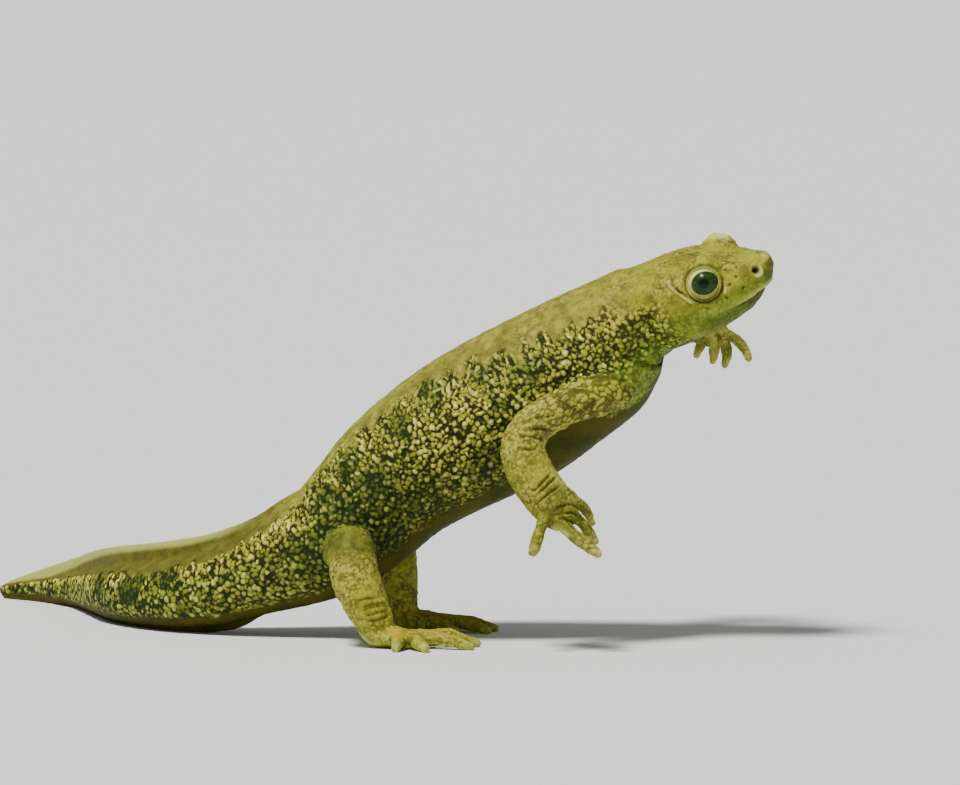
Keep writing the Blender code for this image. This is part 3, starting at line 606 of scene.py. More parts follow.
def wartField(points, normals, kept, size, stretch, axis, chosen, seed, pressed):
    spots = np.random.RandomState(seed)      # domes, apart or pressed against each other
    centres = points[kept]
    sizes = size[kept] * spots.uniform(*domes["size"], len(kept))
    stretches = 1 + (stretch[kept] - 1) * spots.uniform(*domes["stretch"], len(kept))
    axes = axis[kept] + domes["turn"] * spots.normal(size=(len(kept), 3))
    axes -= (axes * normals[kept]).sum(axis=1)[:, None] * normals[kept]
    axes /= lengthsOf(axes)[:, None]
    heights = spots.uniform(*domes["height"], len(kept))
    heights[spots.uniform(size=len(kept)) < domes["gone"]] *= domes["goneHeight"]
    tones = spots.uniform(0, 1, len(kept))
    spot = points[chosen]
    index = nearestSpots(spot, centres, 3)
    gaps = []
    for which in index.T:
        away = spot - centres[which]
        lengthwise = (away * axes[which]).sum(axis=1)
        across = np.sqrt(np.maximum((away ** 2).sum(axis=1) - lengthwise ** 2, 0))
        gaps.append(np.hypot(lengthwise / stretches[which], across * stretches[which] ** 0.3)
                    / (0.5 * sizes[which]))
    gaps = np.array(gaps)
    columns = np.arange(len(spot))
    first = gaps.argmin(axis=0)
    nearest = gaps[first, columns]
    gaps[first, columns] = 1e9
    which = index[columns, first]
    groove = ramp(gaps.min(axis=0) - nearest, 0.0, domes["pressedGroove"]) if pressed else 1.0
    reach = domes["pressedReach"] if pressed else 1.0
    dome = np.clip(1 - (nearest / reach) ** 2, 0, 1) ** domes["roundness"]
    height, tone = np.zeros(len(points)), np.zeros(len(points))
    height[chosen] = heights[which] * dome * (0.3 + 0.7 * groove)
    tone[chosen] = tones[which]
    return height, tone


# The face is drawn on the side of the head, as seen from the right: each part says how far out it
# lies, then ahead and up. Lifts are strength, place beside the line and width, in millimetres.
sideView = {"ahead": 0.353, "across": 0.912, "up": 0.208, "rounding": 0.3}
mouth = {
    "out": 5.5, "line": ((6.9, -1.5), (9.4, -1.95), (12.2, -1.88), (13.9, -1.72), (15.2, -1.42),
                         (17.2, -0.78), (18.2, -0.6)),
    "corner": (6.8, 8.4), "firm": (11.0, 14.5), "softest": 0.3,      # it softens towards the corner
    # The dark marks of the mouth line and of the chin are painted shade
    "depth": 0.34, "width": 0.17, "recessShade": (0.9, -0.04, 0.2),
    "lip": (0.12, 0.55, 0.42), "lipPale": (0.4, 0.5, 0.3),
    "chin": (0.16, -0.5, 0.8), "chinShade": (0.55, -0.4, 0.4), "front": (12.3, 14.8),
    "muzzle": (15.9, 16.6), "muzzleTop": (1.9, 1.1),
}
nostril = {
    "out": 2.4, "at": (15.5, 1.0), "depth": 0.55, "radius": 0.36, "hole": (0.52, 0.3),
    "rim": (0.14, 0.72, 0.22), "pale": (0.1, 0.8), "paleWidth": 0.17, "lower": (14.3, 15.1),
}
# Folds: how far out, the line, lift, width, paleness, and whether a groove runs on the eye's side
folds = [
    (7.2, ((6.6, 4.8), (6.35, 3.9), (6.5, 3.2), (7.1, 2.2), (7.7, 1.35), (8.3, 0.6)), 0.22, 0.2, 0.65, True),
    (6.0, ((12.5, 2.0), (12.3, 1.0), (11.8, 0.2)), 0.16, 0.2, 0.55, True),
    (7.2, ((7.2, -2.4), (7.0, -1.5), (7.1, -0.6)), 0.06, 0.25, 0.1, False),
    (5.0, ((11.6, 3.9), (13.2, 3.1), (14.8, 2.2)), 0.16, 0.4, 0.1, False),
]
foldGroove = {"inside": 0.36, "depth": 0.22, "width": 0.18, "recessShade": 0.6, "shadeWidth": 0.2}
pores = {
    "out": 5.2, "depth": 0.16, "size": 0.2, "recessShade": 0.8,
    "at": ((14.5, 2.8), (12.95, 2.95), (12.7, 1.0), (13.9, 1.7), (14.2, 0.1), (11.6, -0.4)),
}
throat = {"slope": 0.63, "behind": 5.5, "below": (1.5, -1.0), "depth": 0.5, "width": 0.42,
          "lip": (0.22, 0.9, 0.6), "recessShade": 0.8, "shadeWidth": 0.3}
# Painted highlights on the pale top of the snout and on the pale ridge of the far lid: ahead, right, up and
# how it narrows
paintedHighlights = {
    "snout": 16.3, "snoutWidth": 0.45, "snoutFrom": (1.0, 1.8), "snoutHighlight": 0.45,
    "lid": (10.5, -4.3, 5.0), "lidShape": (0.7, 1.3, 1.0), "lidReach": (1.7, 0.5), "lidHighlight": 0.85,
}


def headLocal(points):
    return (points - np.array(head["neck"])) @ np.array([headForward, headRight, headUp]).T


def mark(masks, name, values):
    masks[name] = np.maximum(masks[name], values)


def lift(gap, strength, place, width):
    return strength * bump(gap - place, width)


def sideOn(local, out):
    # Slid along the photo's line of sight to that far out
    slide = (np.sqrt(local[:, 1] ** 2 + sideView["rounding"]) - out) / sideView["across"]
    return np.stack([local[:, 0] - sideView["ahead"] * slide, local[:, 2] - sideView["up"] * slide], 1)


def shapeMouth(local, masks):
    flat = sideOn(local, mouth["out"])
    lips = ramp(flat[:, 0], *mouth["corner"])
    firm = lips * (mouth["softest"] + (1 - mouth["softest"]) * ramp(flat[:, 0], *mouth["firm"]))
    above = flat[:, 1] - np.interp(flat[:, 0], *zip(*mouth["line"]))
    # painted shade in the mouth line and under the front of the upper lip
    mark(masks, "recessShade", firm * lift(above, *mouth["recessShade"]))
    mark(masks, "pale", firm * lift(above, *mouth["lipPale"]))
    mark(masks, "recessShade", ramp(flat[:, 0], *mouth["front"]) * lift(above, *mouth["chinShade"]))
    # jaw and muzzle later get painted shade: the lower jaw below the mouth line, and the snout's front below
    # its top
    masks["jaw"] = lips * ramp(-above, 0.0, 0.5)
    masks["muzzle"] = (ramp(local[:, 0] - 0.3 * local[:, 2], *mouth["muzzle"])
                       * ramp(local[:, 2], *mouth["muzzleTop"]) * ramp(above, 0, 0.4))
    return (lips * (lift(above, *mouth["lip"]) - ramp(-above, 0.0, 0.25) * lift(above, *mouth["chin"]))
            - firm * lift(above, mouth["depth"], 0, mouth["width"]))


def shapeNostrils(local, masks):
    flat = sideOn(local, nostril["out"])
    middle = 9 * ramp(abs(local[:, 1]), 1.0, 0.6)      # keeps them off the middle of the snout
    gap = lengthsOf(flat - nostril["at"]) + middle
    # painted shade in the nostril hole
    mark(masks, "recessShade", ramp(gap, *nostril["hole"]))
    upper, lower = nostril["pale"]
    pale = upper + lower * ramp(flat[:, 0] - flat[:, 1], *nostril["lower"])
    mark(masks, "pale", pale * bump(gap - nostril["rim"][1], nostril["paleWidth"]))
    return lift(gap, *nostril["rim"]) - nostril["depth"] * bump(gap, nostril["radius"])


def shapeFolds(points, local, masks):
    height = np.zeros(len(points))
    outer = ramp(abs(local[:, 1]), 1.6, 3.6)
    broken = 0.2 + ramp(latticeNoise(points, 0.75, 31), 0.2, 0.6)
    wander = 0.22 * (latticeNoise(points, 0.5, 32) - 0.5)
    for out, line, rise, width, pale, grooved in folds:
        flat = sideOn(local, out)
        gap, share = lineDistance(flat, line)
        fade = outer * over(share, -0.01, 0.2, 0.8, 1.01) * broken
        height += rise * fade * bump(gap + wander, width)
        mark(masks, "pale", pale * fade * bump(gap + wander, width * 0.8))
        if grooved:
            towards = flat - np.array([eye["at"][0], eye["at"][2]])
            towards /= np.maximum(lengthsOf(towards), 0.1)[:, None]
            inside, _ = lineDistance(flat + foldGroove["inside"] * towards, line)
            height -= foldGroove["depth"] * fade * bump(inside, foldGroove["width"])
            # painted shade along the groove beside the fold
            mark(masks, "recessShade", foldGroove["recessShade"] * fade * bump(inside, foldGroove["shadeWidth"]))
    flat = sideOn(local, pores["out"])
    for pore in pores["at"]:
        dot = outer * bump(lengthsOf(flat - pore), pores["size"])
        height -= pores["depth"] * dot
        # painted shade in the pores
        mark(masks, "recessShade", pores["recessShade"] * dot)
    return height


def shapeThroat(local, masks):
    below = ramp(local[:, 2], *throat["below"])
    fold = local[:, 0] + throat["slope"] * (local[:, 2] + throat["behind"])
    # painted shade in the throat fold
    mark(masks, "recessShade", throat["recessShade"] * below * bump(fold, throat["shadeWidth"]))
    return below * (lift(fold, *throat["lip"]) - throat["depth"] * bump(fold, throat["width"]))


def paintHighlights(points, local, masks):
    # painted highlights along the snout's top edge and on the far lid's ridge
    rim = bump(local[:, 0] - paintedHighlights["snout"] - 0.2 * local[:, 2], paintedHighlights["snoutWidth"])
    rim *= ramp(local[:, 2], *paintedHighlights["snoutFrom"]) * ramp(latticeNoise(points, 0.8, 34), 0.25, 0.6)
    mark(masks, "pale", paintedHighlights["snoutHighlight"] * rim)
    gap = lengthsOf((local - paintedHighlights["lid"]) * paintedHighlights["lidShape"])
    broken = 0.6 + 0.6 * latticeNoise(points, 0.7, 33)
    mark(masks, "pale", paintedHighlights["lidHighlight"] * ramp(gap, *paintedHighlights["lidReach"]) * broken)


def shapeFace(points, masks):
    local = headLocal(points)
    paintHighlights(points, local, masks)
    return (shapeMouth(local, masks) + shapeNostrils(local, masks) + shapeFolds(points, local, masks)
            + shapeThroat(local, masks))


def shapeLids(points, masks):
    width, tall = eye["opening"]
    ahead, up = eye["openingShift"]
    rim = eye["rimRadius"]
    for side in (1, -1):
        axis = eyeAxis(side)
        across = unit(np.cross(headUp, axis))
        upward = np.cross(axis, across)
        away = points - eyeCentre(side)
        depth = away @ axis
        u, v = away @ across * side, away @ upward
        radius = np.hypot(u, v)
        inner = np.hypot((u - ahead) / width, (v - up) / tall)
        fromOpening = (inner - 1) * 0.5 * (width + tall)       # mm outside the visible eye
        fromRim = rim - radius                                  # mm inside the ring's outer edge
        share = np.clip(fromOpening / np.maximum(fromOpening + fromRim, 0.05), -1, 1)
        ballDepth = np.sqrt(np.maximum(eye["radius"] ** 2 - radius ** 2, 0.3))
        inward = -1.6 * np.clip(-fromOpening, 0, 0.6)
        ring = ballDepth + np.where(fromOpening < 0, inward, eye["rimHeight"] * np.sqrt(np.clip(share, 0, 1)))
        edge = bump(radius - rim - 0.14, 0.17)
        blend = ramp(radius, rim - 0.22, rim + 0.12)
        target = (1 - blend) * ring + blend * (depth - eye["grooveDepth"] * edge)
        near = (depth > 0.2) & (radius < rim + 0.7)
        points[near] += (target - depth)[near, None] * axis
        onRing = near * ramp(fromOpening, -0.1, 0.05) * ramp(fromRim, -0.1, 0.12)
        low, rise = eye["rimPale"]
        mark(masks, "pale", onRing * (low + rise * ramp(v, -1.5, 1.6)))
        # painted shade in the groove round the lids, darker below
        mark(masks, "recessShade", near * edge * (0.5 + 0.4 * ramp(v, 0.5, -1.5)))
    return points


# Creases as seen from the right: the y that they lie near, depth, width, and lines of x and z
creases = {
    "elbow": (-17.0, 0.21, 0.20, [
        ((24.6, 26.3), (25.4, 26.5), (26.3, 26.3), (27.4, 26.1), (28.1, 25.6), (28.3, 25.2)),
        ((24.8, 27.2), (25.6, 27.1), (26.8, 27.3), (27.8, 27.2), (28.9, 26.9)),
        ((26.4, 28.5), (26.8, 28.6), (27.8, 28.7), (28.8, 28.9), (29.6, 28.5)),
        ((24.7, 28.0), (25.3, 28.1), (26.5, 28.2)),
        ((24.5, 25.1), (25.0, 25.0), (25.9, 24.8), (27.2, 25.0)),
    ]),
    "forearm": (-17.0, 0.22, 0.17, [
        ((26.3, 19.6), (27.1, 20.2), (27.9, 21.1), (28.9, 22.1)),
        ((26.8, 19.2), (27.7, 20.1), (28.6, 20.9), (29.3, 21.6)),
        ((26.7, 18.0), (27.5, 18.8), (28.8, 19.8), (30.0, 20.7)),
    ]),
    "knuckles": (-16.5, 0.20, 0.15, [
        ((28.8, 17.4), (29.7, 18.0), (31.0, 18.2), (31.9, 17.7), (32.5, 16.8)),
        ((30.0, 17.0), (31.0, 17.2), (31.9, 16.7), (32.7, 15.8)),
        ((29.4, 16.5), (30.2, 16.5), (31.0, 16.0), (31.7, 15.2)),
        ((31.7, 17.4), (32.7, 16.2), (33.5, 15.0), (34.1, 13.9)),
        ((32.4, 18.2), (33.2, 17.3), (33.6, 16.1)),
    ]),
    "ankle": (-15.4, 0.11, 0.17, [
        ((5.1, 5.1), (5.9, 5.4), (7.0, 5.6), (8.1, 5.6)),
        ((4.9, 4.6), (6.0, 5.1), (7.3, 5.3), (8.4, 5.1)),
        ((5.4, 4.0), (6.3, 4.3), (7.3, 4.6), (8.4, 4.8)),
        ((5.7, 3.4), (6.7, 3.6), (7.6, 3.8), (8.3, 4.2)),
        ((4.6, 5.9), (5.6, 6.3), (6.8, 6.4)),
    ]),
}


def creaseRelief(points, normals, masks):
    height = np.zeros(len(points))
    for place, depth, width, lines in creases.values():
        side = ramp(abs(points[:, 1] - place), 3.4, 2.2) * ramp(-normals[:, 1], 0.05, 0.4)
        for line in lines:
            gap, share = lineDistance(points[:, [0, 2]], line)
            fade = side * over(share, -0.02, 0.2, 0.8, 1.02)
            height -= depth * fade * bump(gap, width)
            height += 0.35 * depth * fade * bump(gap - 2.2 * width, width)      # its raised side
            # painted shade along the bottom of each crease
            mark(masks, "recessShade", 0.6 * fade * bump(gap, width))
    return height


# Pale and shaded places of the hands and feet: reach in millimetres, and strength
handMarks = {
    "tip": (1.4, 0.6), "tipPale": 0.22, "shade": (5.7, 2.7), "shadeStrength": 0.75,
    "heel": (2.4, 0.96), "heelBack": (1.2, 0, 0.9), "heelPale": 0.45,
    # the web's pale line is a painted highlight
    "web": ((28.8, 14.6), (29.1, 15.4), (29.7, 15.0), (30.7, 14.5)), "webWidth": 0.34, "webHighlight": 0.6,
    "wrist": (29.9, 19.3), "wristSize": 1.14, "nearSide": (12.0, 14.0),
}


def markHands(points, masks):
    def gapTo(place):
        return lengthsOf(points - place)
    shade = np.zeros(len(points))
    for side in ("right", "left"):
        tips = [finger[-1][:3] for finger in fingers[side]]
        tips += [(x, y, toes["tipHeight"]) for x, y, _ in toes[side]]
        for tip in tips:
            mark(masks, "pale", handMarks["tipPale"] * ramp(gapTo(tip), *handMarks["tip"]))
        middle = np.mean([finger[1][:3] for finger in fingers[side]], axis=0)
        shade = np.maximum(shade, handMarks["shadeStrength"] * ramp(gapTo(middle), *handMarks["shade"]))
        heel = np.array(limbs["sole" + side.capitalize()][0][:3]) - handMarks["heelBack"]
        mark(masks, "pale", handMarks["heelPale"] * ramp(gapTo(heel), *handMarks["heel"]))
    near = ramp(-points[:, 1], *handMarks["nearSide"])
    flat = points[:, [0, 2]]
    # painted highlight along the web of the near hand
    gap, _ = lineDistance(flat, handMarks["web"])
    mark(masks, "pale", handMarks["webHighlight"] * near * bump(gap, handMarks["webWidth"]))
    gap = lengthsOf(flat - handMarks["wrist"])
    masks["shade"] = np.maximum(shade, near * bump(gap, handMarks["wristSize"]))


def leanMuzzle(points, weight):
    local = headLocal(points)
    lean = head["muzzleLean"] * ramp(local[:, 0], *head["muzzleOver"]) * weight
    return points + (lean * (local[:, 2] - 0.3))[:, None] * headForward


# Stretches of the body in millimetres from the snout: where each begins and is full, and with four
# numbers where it fades and ends
zones = {
    "head": (22, 15), "muzzle": (20, 15), "face": (24, 20), "neck": (8, 12, 19, 27),
    "shoulder": (42, 38), "tail": (64, 76), "evenTail": (74, 82),
}
# The same, then degrees up from the middle of the side
regions = {
    "breast": ((16, 20, 26, 29), (-4, -20)), "neckSide": ((12, 17, 24, 30), (18, -6)),
    "ribs": ((22, 28, 56, 64), (14, 34)), "elbowShade": ((32, 36, 41, 46), (-6, -18)),
    "rearShade": ((46, 54), (26, 2)), "rear": ((50, 62), (35, 5)),
    "fin": ((72, 80), (42, 60)), "finShade": ((66, 76), (38, 52)), "finEdge": ((72, 82), (60, 75)),
}
# Lower edge of the smooth back, and upper edge of the belly, as degrees at places along the body
band = {
    "at": (12, 18, 30, 37, 43, 50, 62, 72), "edge": (30, 42, 44, 48, 51, 48, 58, 50),
    "soft": 5, "ragged": (13, 10, 6), "ribShadows": (-12, -4, 4, 26),
    "bellyAt": (14, 18, 24, 27, 29, 31, 34, 38, 60), "bellyEdge": (34, 44, 46, 36, 16, 2, 6, 34, 38),
    "bellySoft": 20, "bellyRagged": 9,
}
# Dark green patches of the near flank: x, z, size and strength
patches = {
    "wander": 1.6, "nearSide": (1.0, 3.0),
    "spots": [
        (11.8, 31.1, 2.2, 1.0), (1.8, 21.2, 2.2, 1.0), (-0.9, 18.1, 2.3, 1.0), (8.9, 26.9, 1.9, 0.9),
        (24.6, 33.9, 1.9, 0.9), (19.4, 33.3, 1.8, 0.8), (37.4, 38.3, 1.8, 0.7), (18.6, 20.4, 2.2, 0.8),
        (13.4, 17.4, 2.4, 0.9), (21.5, 30.0, 1.4, 0.6), (5.4, 19.6, 1.6, 0.6),
    ],
}
# Heights, sizes and spacings in millimetres; a Spread or Stretch is a share that is added
relief = {
    "grainSpacing": 0.48, "rearSpread": 0.25, "armSpread": 0.4, "grainSize": 1.25,
    "grainHeight": 0.10, "headGrain": 0.05, "limbGrain": 0.07, "armGrain": 0.16, "thighGrain": 0.07,
    "wartSpacing": 0.55, "wartRearSpread": 0.12, "wartSpread": 0.4, "wartSize": 1.26, "wartHeight": 0.37,
    "flankStretch": 1.2, "stretchFrom": (10, 38), "armStretch": 0.9,
    "warp": 0.36, "warpSize": 0.4,      # irregular outlines
    "lumpHeight": 0.22, "lumpSize": 1.7, "ribSpacing": 3.2, "ribHeight": 0.06, "spine": (62, 85),
    "pebbleSize": 0.55, "pebble": 0.05, "headPebble": 0.08, "limbPebble": 0.06,
    "uneven": 0.15, "limbUneven": 0.1,
    "armRoot": (4, -10), "thigh": (8.0, 11.0), "knee": (8.8, 12.3), "forearm": (12.5, 9.5),
}


def smoothSkin():
    newt, (bodyTree, limbTree) = fusedSkin()
    ahead, reach = grid["snout"]
    hand, handReach = grid["hand"]
    refineNear(newt, [(eyeCentre(1), grid["eye"]), (eyeCentre(-1), grid["eye"]),
                      (onHead(ahead, 0, 0), reach), (np.array(hand), handReach)])
    points = readPoints(newt)
    print("skin refined:", len(points), "points")
    middles = limbMiddles()
    closest = nearestOf(points, middles[:, :3])
    clear = lengthsOf(points - middles[closest, :3]) - middles[closest, 3]
    byLimb = clear < grid["limbReach"]
    bodyGap, limbGap = distances(bodyTree, points, byLimb, 0), distances(limbTree, points, byLimb, 3)
    join = ramp(np.maximum(bodyGap, limbGap), *grid["join"])
    points = smoothed(newt, points, 0.5 * join, grid["joinRounds"])
    points = smoothed(newt, points, np.full(len(points), 0.5), grid["evenRounds"])
    along, angle, tangent = bodyPlaces(points)
    tailward = ramp(along, *zones["evenTail"]) * ramp(limbGap, *grid["offLimb"])
    points = smoothed(newt, points, 0.5 * tailward, grid["tailRounds"])
    points = leanMuzzle(points, ramp(along, *zones["muzzle"]) * ramp(limbGap, *grid["offArm"]))
    setPoints(newt, points)
    print("skin smoothed")
    return SimpleNamespace(newt=newt, points=points, normals=readPoints(newt, "normal"), along=along,
                           angle=angle, tangent=tangent, bodyGap=bodyGap, limbGap=limbGap)


def region(s, name):
    along, around = regions[name]
    return over(s.along, *along) * over(s.angle, *around)


def findZones(s):
    along, angle, local = s.along, s.angle, headLocal(s.points)
    s.coarse, s.medium, s.small = (latticeNoise(s.points, size, seed)
                                   for size, seed in ((4.2, 1), (1.9, 2), (0.9, 3)))
    s.limb = ramp(s.bodyGap - s.limbGap, -0.4, 0.6) * ramp(s.bodyGap, 0.1, 1.2)
    s.body = 1 - s.limb
    s.legTone = (ramp(s.bodyGap + 0.9 * (s.small - 0.5), 0.4, 1.7)
                 * ramp(s.bodyGap - s.limbGap, -1.0, 0.2))
    warted = (ramp(6.0 - local[:, 0] - 0.35 * local[:, 2] + 1.6 * (s.medium - 0.5), 0.0, 3.2)
              * ramp(2.4 - local[:, 2] + 0.15 * (5 - local[:, 0]) + 1.4 * (s.medium - 0.5), 0.0, 1.5))
    s.head = ramp(along, *zones["head"]) * s.body
    s.smoothHead = s.head * (1 - warted)
    s.cheek = ramp(local[:, 0], 1.0, 4.0) * ramp(local[:, 2], 0.9, -0.6) * s.head
    s.tail = ramp(along, *zones["tail"]) * s.body
    s.shoulder = ramp(along, *zones["shoulder"])
    s.breast = region(s, "breast") * s.body
    s.rear = region(s, "rear") * s.body
    s.bandLow = np.interp(along, band["at"], band["edge"])
    s.ribWave = np.cos(2 * math.pi * (along + 2.2 * s.coarse + 1.2 * s.medium) / relief["ribSpacing"])
    byMedium, bySmall, byRibs = band["ragged"]
    ragged = byMedium * (s.medium - 0.5) + bySmall * (s.small - 0.5) + byRibs * s.ribWave
    s.back = ramp(angle + ragged, s.bandLow - band["soft"], s.bandLow + band["soft"]) * s.body
    bellyFrom = np.interp(along, band["bellyAt"], band["bellyEdge"])
    s.under = ramp(-angle - band["bellyRagged"] * (s.medium - 0.5), bellyFrom,
                   bellyFrom + band["bellySoft"]) * s.body
    nearSide = ramp(-s.points[:, 1], *patches["nearSide"])
    bentX = s.points[:, 0] + patches["wander"] * (s.medium - 0.5)
    bentZ = s.points[:, 2] + patches["wander"] * (s.small - 0.5)
    s.patches = nearSide * np.max([strength * bump(np.hypot(bentX - x, bentZ - z), size)
                                   for x, z, size, strength in patches["spots"]], axis=0)
    s.blotch = ramp(s.coarse + 0.4 * (s.medium - 0.5), 0.58, 0.72) * (1 - 0.7 * nearSide) + s.patches
    s.blotch = np.clip(s.blotch, 0, 1) * s.body * (1 - 0.7 * s.back)
    s.masks = {"pale": np.zeros(len(along)), "recessShade": np.zeros(len(along)), "back": s.back,
               "under": s.under, "limb": s.legTone, "headness": s.smoothHead}


def eyeRoom(points):
    room = np.zeros(len(points))      # one around the eyes, where nothing else is raised
    for side in (1, -1):
        away = points - eyeCentre(side)
        depth = away @ eyeAxis(side)
        radius = lengthsOf(away - depth[:, None] * eyeAxis(side))
        room = np.maximum(room, (depth > -0.5) * ramp(radius, 2.9, 2.35))
    return room


def wartRelief(s):
    armAlong, armOut, armTangent = limbPlaces(s.points, limbs["armRight"])
    s.arm = ramp(armAlong, *relief["forearm"]) * (armOut < 1.4) * (s.limbGap < 0.6) * s.limb
    axis = np.where((s.limb > 0.5)[:, None], armTangent, np.cross(s.tangent, s.normals))
    flank = (1 - 0.9 * s.back) * (1 - 0.85 * s.under) * (1 - 0.9 * s.smoothHead) * s.body
    fin = region(s, "fin") * s.body
    flank *= (1 - 0.45 * s.tail) * (1 - fin) * (1 - 0.8 * s.breast)
    stretch = (1 + relief["flankStretch"] * ramp(s.angle, *relief["stretchFrom"]) * s.body
               * (1 - s.smoothHead) + relief["armStretch"] * s.arm)
    warp = np.stack([latticeNoise(s.points, relief["warpSize"], 29 + i) for i in range(3)], 1) - 0.5
    bent = s.points + relief["warp"] * warp

    thigh = ramp(s.points[:, 2], *relief["thigh"]) * s.limb * (1 - s.shoulder)
    grainLift = (relief["grainHeight"] * np.maximum(flank, 0) + relief["headGrain"] * s.smoothHead
                 + relief["limbGrain"] * s.limb)
    grainLift += relief["armGrain"] * s.arm + relief["thighGrain"] * thigh
    spacing = relief["grainSpacing"] * (1 + relief["rearSpread"] * s.rear + relief["armSpread"] * s.arm)
    kept = scatter(s.points, ramp(grainLift, 0.0, 0.02) * (s.eyes < 0.5), spacing, 5)
    print("granules:", len(kept))
    s.grains, _ = wartField(bent, s.normals, kept, spacing * relief["grainSize"], stretch, axis,
                            grainLift > 0.012, 9, pressed=True)

    spacing = relief["wartSpacing"] * (1 + relief["wartRearSpread"] * s.rear
                                       + relief["wartSpread"] * (s.small - 0.5))
    s.wartLift = relief["wartHeight"] * flank * (1 - 0.7 * s.blotch)
    room = ramp(s.wartLift, 0.02, 0.06) * (s.eyes < 0.5)
    kept = scatter(s.points, room, spacing * stretch ** 0.35, 6)
    print("warts:", len(kept))
    s.warts, s.tone = wartField(bent, s.normals, kept, spacing * relief["wartSize"], stretch, axis,
                                s.wartLift > 0.02, 11, pressed=False)
    lumps = latticeNoise(s.points, relief["lumpSize"], 4) + 0.5 * s.small - 0.75
    return (grainLift * s.grains * (1 - 0.6 * s.warts) + s.wartLift * s.warts
            + relief["lumpHeight"] * lumps * flank)


def broadRelief(s):
    ribs = region(s, "ribs") * s.body
    # painted shadows in the dips between the ribs, just below the smooth back
    ribShadows = ribs * (0.5 - 0.5 * s.ribWave) * ramp(s.medium, 0.3, 0.65)
    s.masks["ribShadows"] = ribShadows * over(s.angle - s.bandLow, *band["ribShadows"])
    height = relief["ribHeight"] * ribs * (1 - 0.7 * ramp(s.angle, *relief["spine"])) * s.ribWave
    pebble = relief["pebble"] + relief["headPebble"] * s.smoothHead + relief["limbPebble"] * s.limb
    height += pebble * (latticeNoise(s.points, relief["pebbleSize"], 5) - 0.5)
    return (height + relief["uneven"] * (s.small - 0.5) * (s.smoothHead + s.limb)
            + relief["limbUneven"] * (s.medium - 0.5) * s.limb)


def colourMasks(s, jaw, muzzle):
    along, body, masks = s.along, s.body, s.masks
    masks.update(grain=s.grains, crest=s.warts * ramp(s.wartLift, 0.03, 0.12), tone=s.tone, arm=s.arm)
    masks["fin"] = region(s, "finShade") * body
    finTop = np.interp((along - tail["from"]) / tail["length"], [-0.1] + [row[0] for row in tail["rows"]],
                       [19.0] + [row[4] for row in tail["rows"]])
    edge = ramp(s.points[:, 2] - finTop, -0.9, -0.3)
    mark(masks, "pale", 0.5 * region(s, "finEdge") * edge * body)
    masks["neck"] = over(along, *zones["neck"]) * body
    neckSide = region(s, "neckSide") * body
    armRoot = (1 - s.legTone) * s.limb * s.shoulder
    lower = region(s, "rearShade") + region(s, "elbowShade")
    # painted shade under the elbow and at the lower rear flank, with the dark green patches
    masks["shadeBelowAndPatches"] = np.clip(lower * (0.4 + s.medium) + 0.7 * s.patches, 0, 1) * (1 - 0.5 * s.tail)
    masks["green"] = np.clip(0.6 * neckSide + s.breast + 0.8 * s.cheek + 0.45 * s.blotch + 0.5 * s.rear
                             + 0.2 * jaw + armRoot, 0, 1)
    masks["leafy"] = np.clip(s.breast + armRoot * ramp(s.angle, *relief["armRoot"]), 0, 1) * (1 - s.under)
    # dark green blotches and lower rear flank, with painted shade under the jaw and on the snout's front
    blotchesAndShade = s.blotch * 0.8 + s.rear * (0.3 + 0.6 * s.medium) * (1 - 0.6 * s.tail)
    masks["blotchesAndShade"] = np.clip(blotchesAndShade * (1 - s.head) + 0.55 * jaw + 0.6 * muzzle, 0, 1)
    footGap = np.min([lengthsOf(s.points - np.array(limbs[name][1][:3]) - (2, 0, 0))
                      for name in ("soleRight", "soleLeft")], axis=0)
    masks["warm"] = (ramp(footGap, 8.5, 4.0) * ramp(s.points[:, 2], 0.9, 1.5)
                     * ramp(s.normals[:, 2], 0.35, 0.8) * s.limb)


def addLayer(obj, name, values):
    layer = obj.data.attributes.new(name, "FLOAT", "POINT")
    layer.data.foreach_set("value", values.astype(np.float32))


def shapeSkin():
    s = smoothSkin()
    findZones(s)
    s.eyes = eyeRoom(s.points)
    height = wartRelief(s) + broadRelief(s) + creaseRelief(s.points, s.normals, s.masks) * s.limb
    markHands(s.points, s.masks)
    knee = ramp(s.points[:, 2], *relief["knee"]) * s.limb * (1 - s.shoulder)
    mark(s.masks, "shade", knee * (0.55 + 0.9 * s.small))
    onFace = ramp(s.along, *zones["face"]) * ramp(s.limbGap, *grid["offArm"])
    faceMasks = {name: np.zeros(len(height)) for name in ("pale", "recessShade")}
    height += shapeFace(s.points, faceMasks) * onFace
    for name in ("pale", "recessShade"):
        mark(s.masks, name, faceMasks[name] * onFace)
    s.points = s.points + (height * (1 - s.eyes))[:, None] * s.normals
    s.points = shapeLids(s.points, s.masks)
    s.points[:, 2] = np.maximum(s.points[:, 2], 0.0)
    colourMasks(s, faceMasks["jaw"] * onFace, faceMasks["muzzle"] * onFace)
    setPoints(s.newt, (s.points + shift) * mm)
    for name, values in s.masks.items():
        addLayer(s.newt, name, values)
    s.newt.data.shade_smooth()
    print("skin shaped")
    return s.newt


class Wire:      # a socket whose operators add Math nodes
    def __init__(self, graph, socket):
        self.graph, self.socket = graph, socket

    def join(self, operation, first, second):
        return self.graph.node("ShaderNodeMath", {"operation": operation}, {0: first, 1: second})

    def __add__(self, other):
        return self.join("ADD", self, other)

    def __sub__(self, other):
        return self.join("SUBTRACT", self, other)

    def __rsub__(self, other):
        return self.join("SUBTRACT", other, self)

    def __mul__(self, other):
        return self.join("MULTIPLY", self, other)

    __radd__, __rmul__ = __add__, __mul__


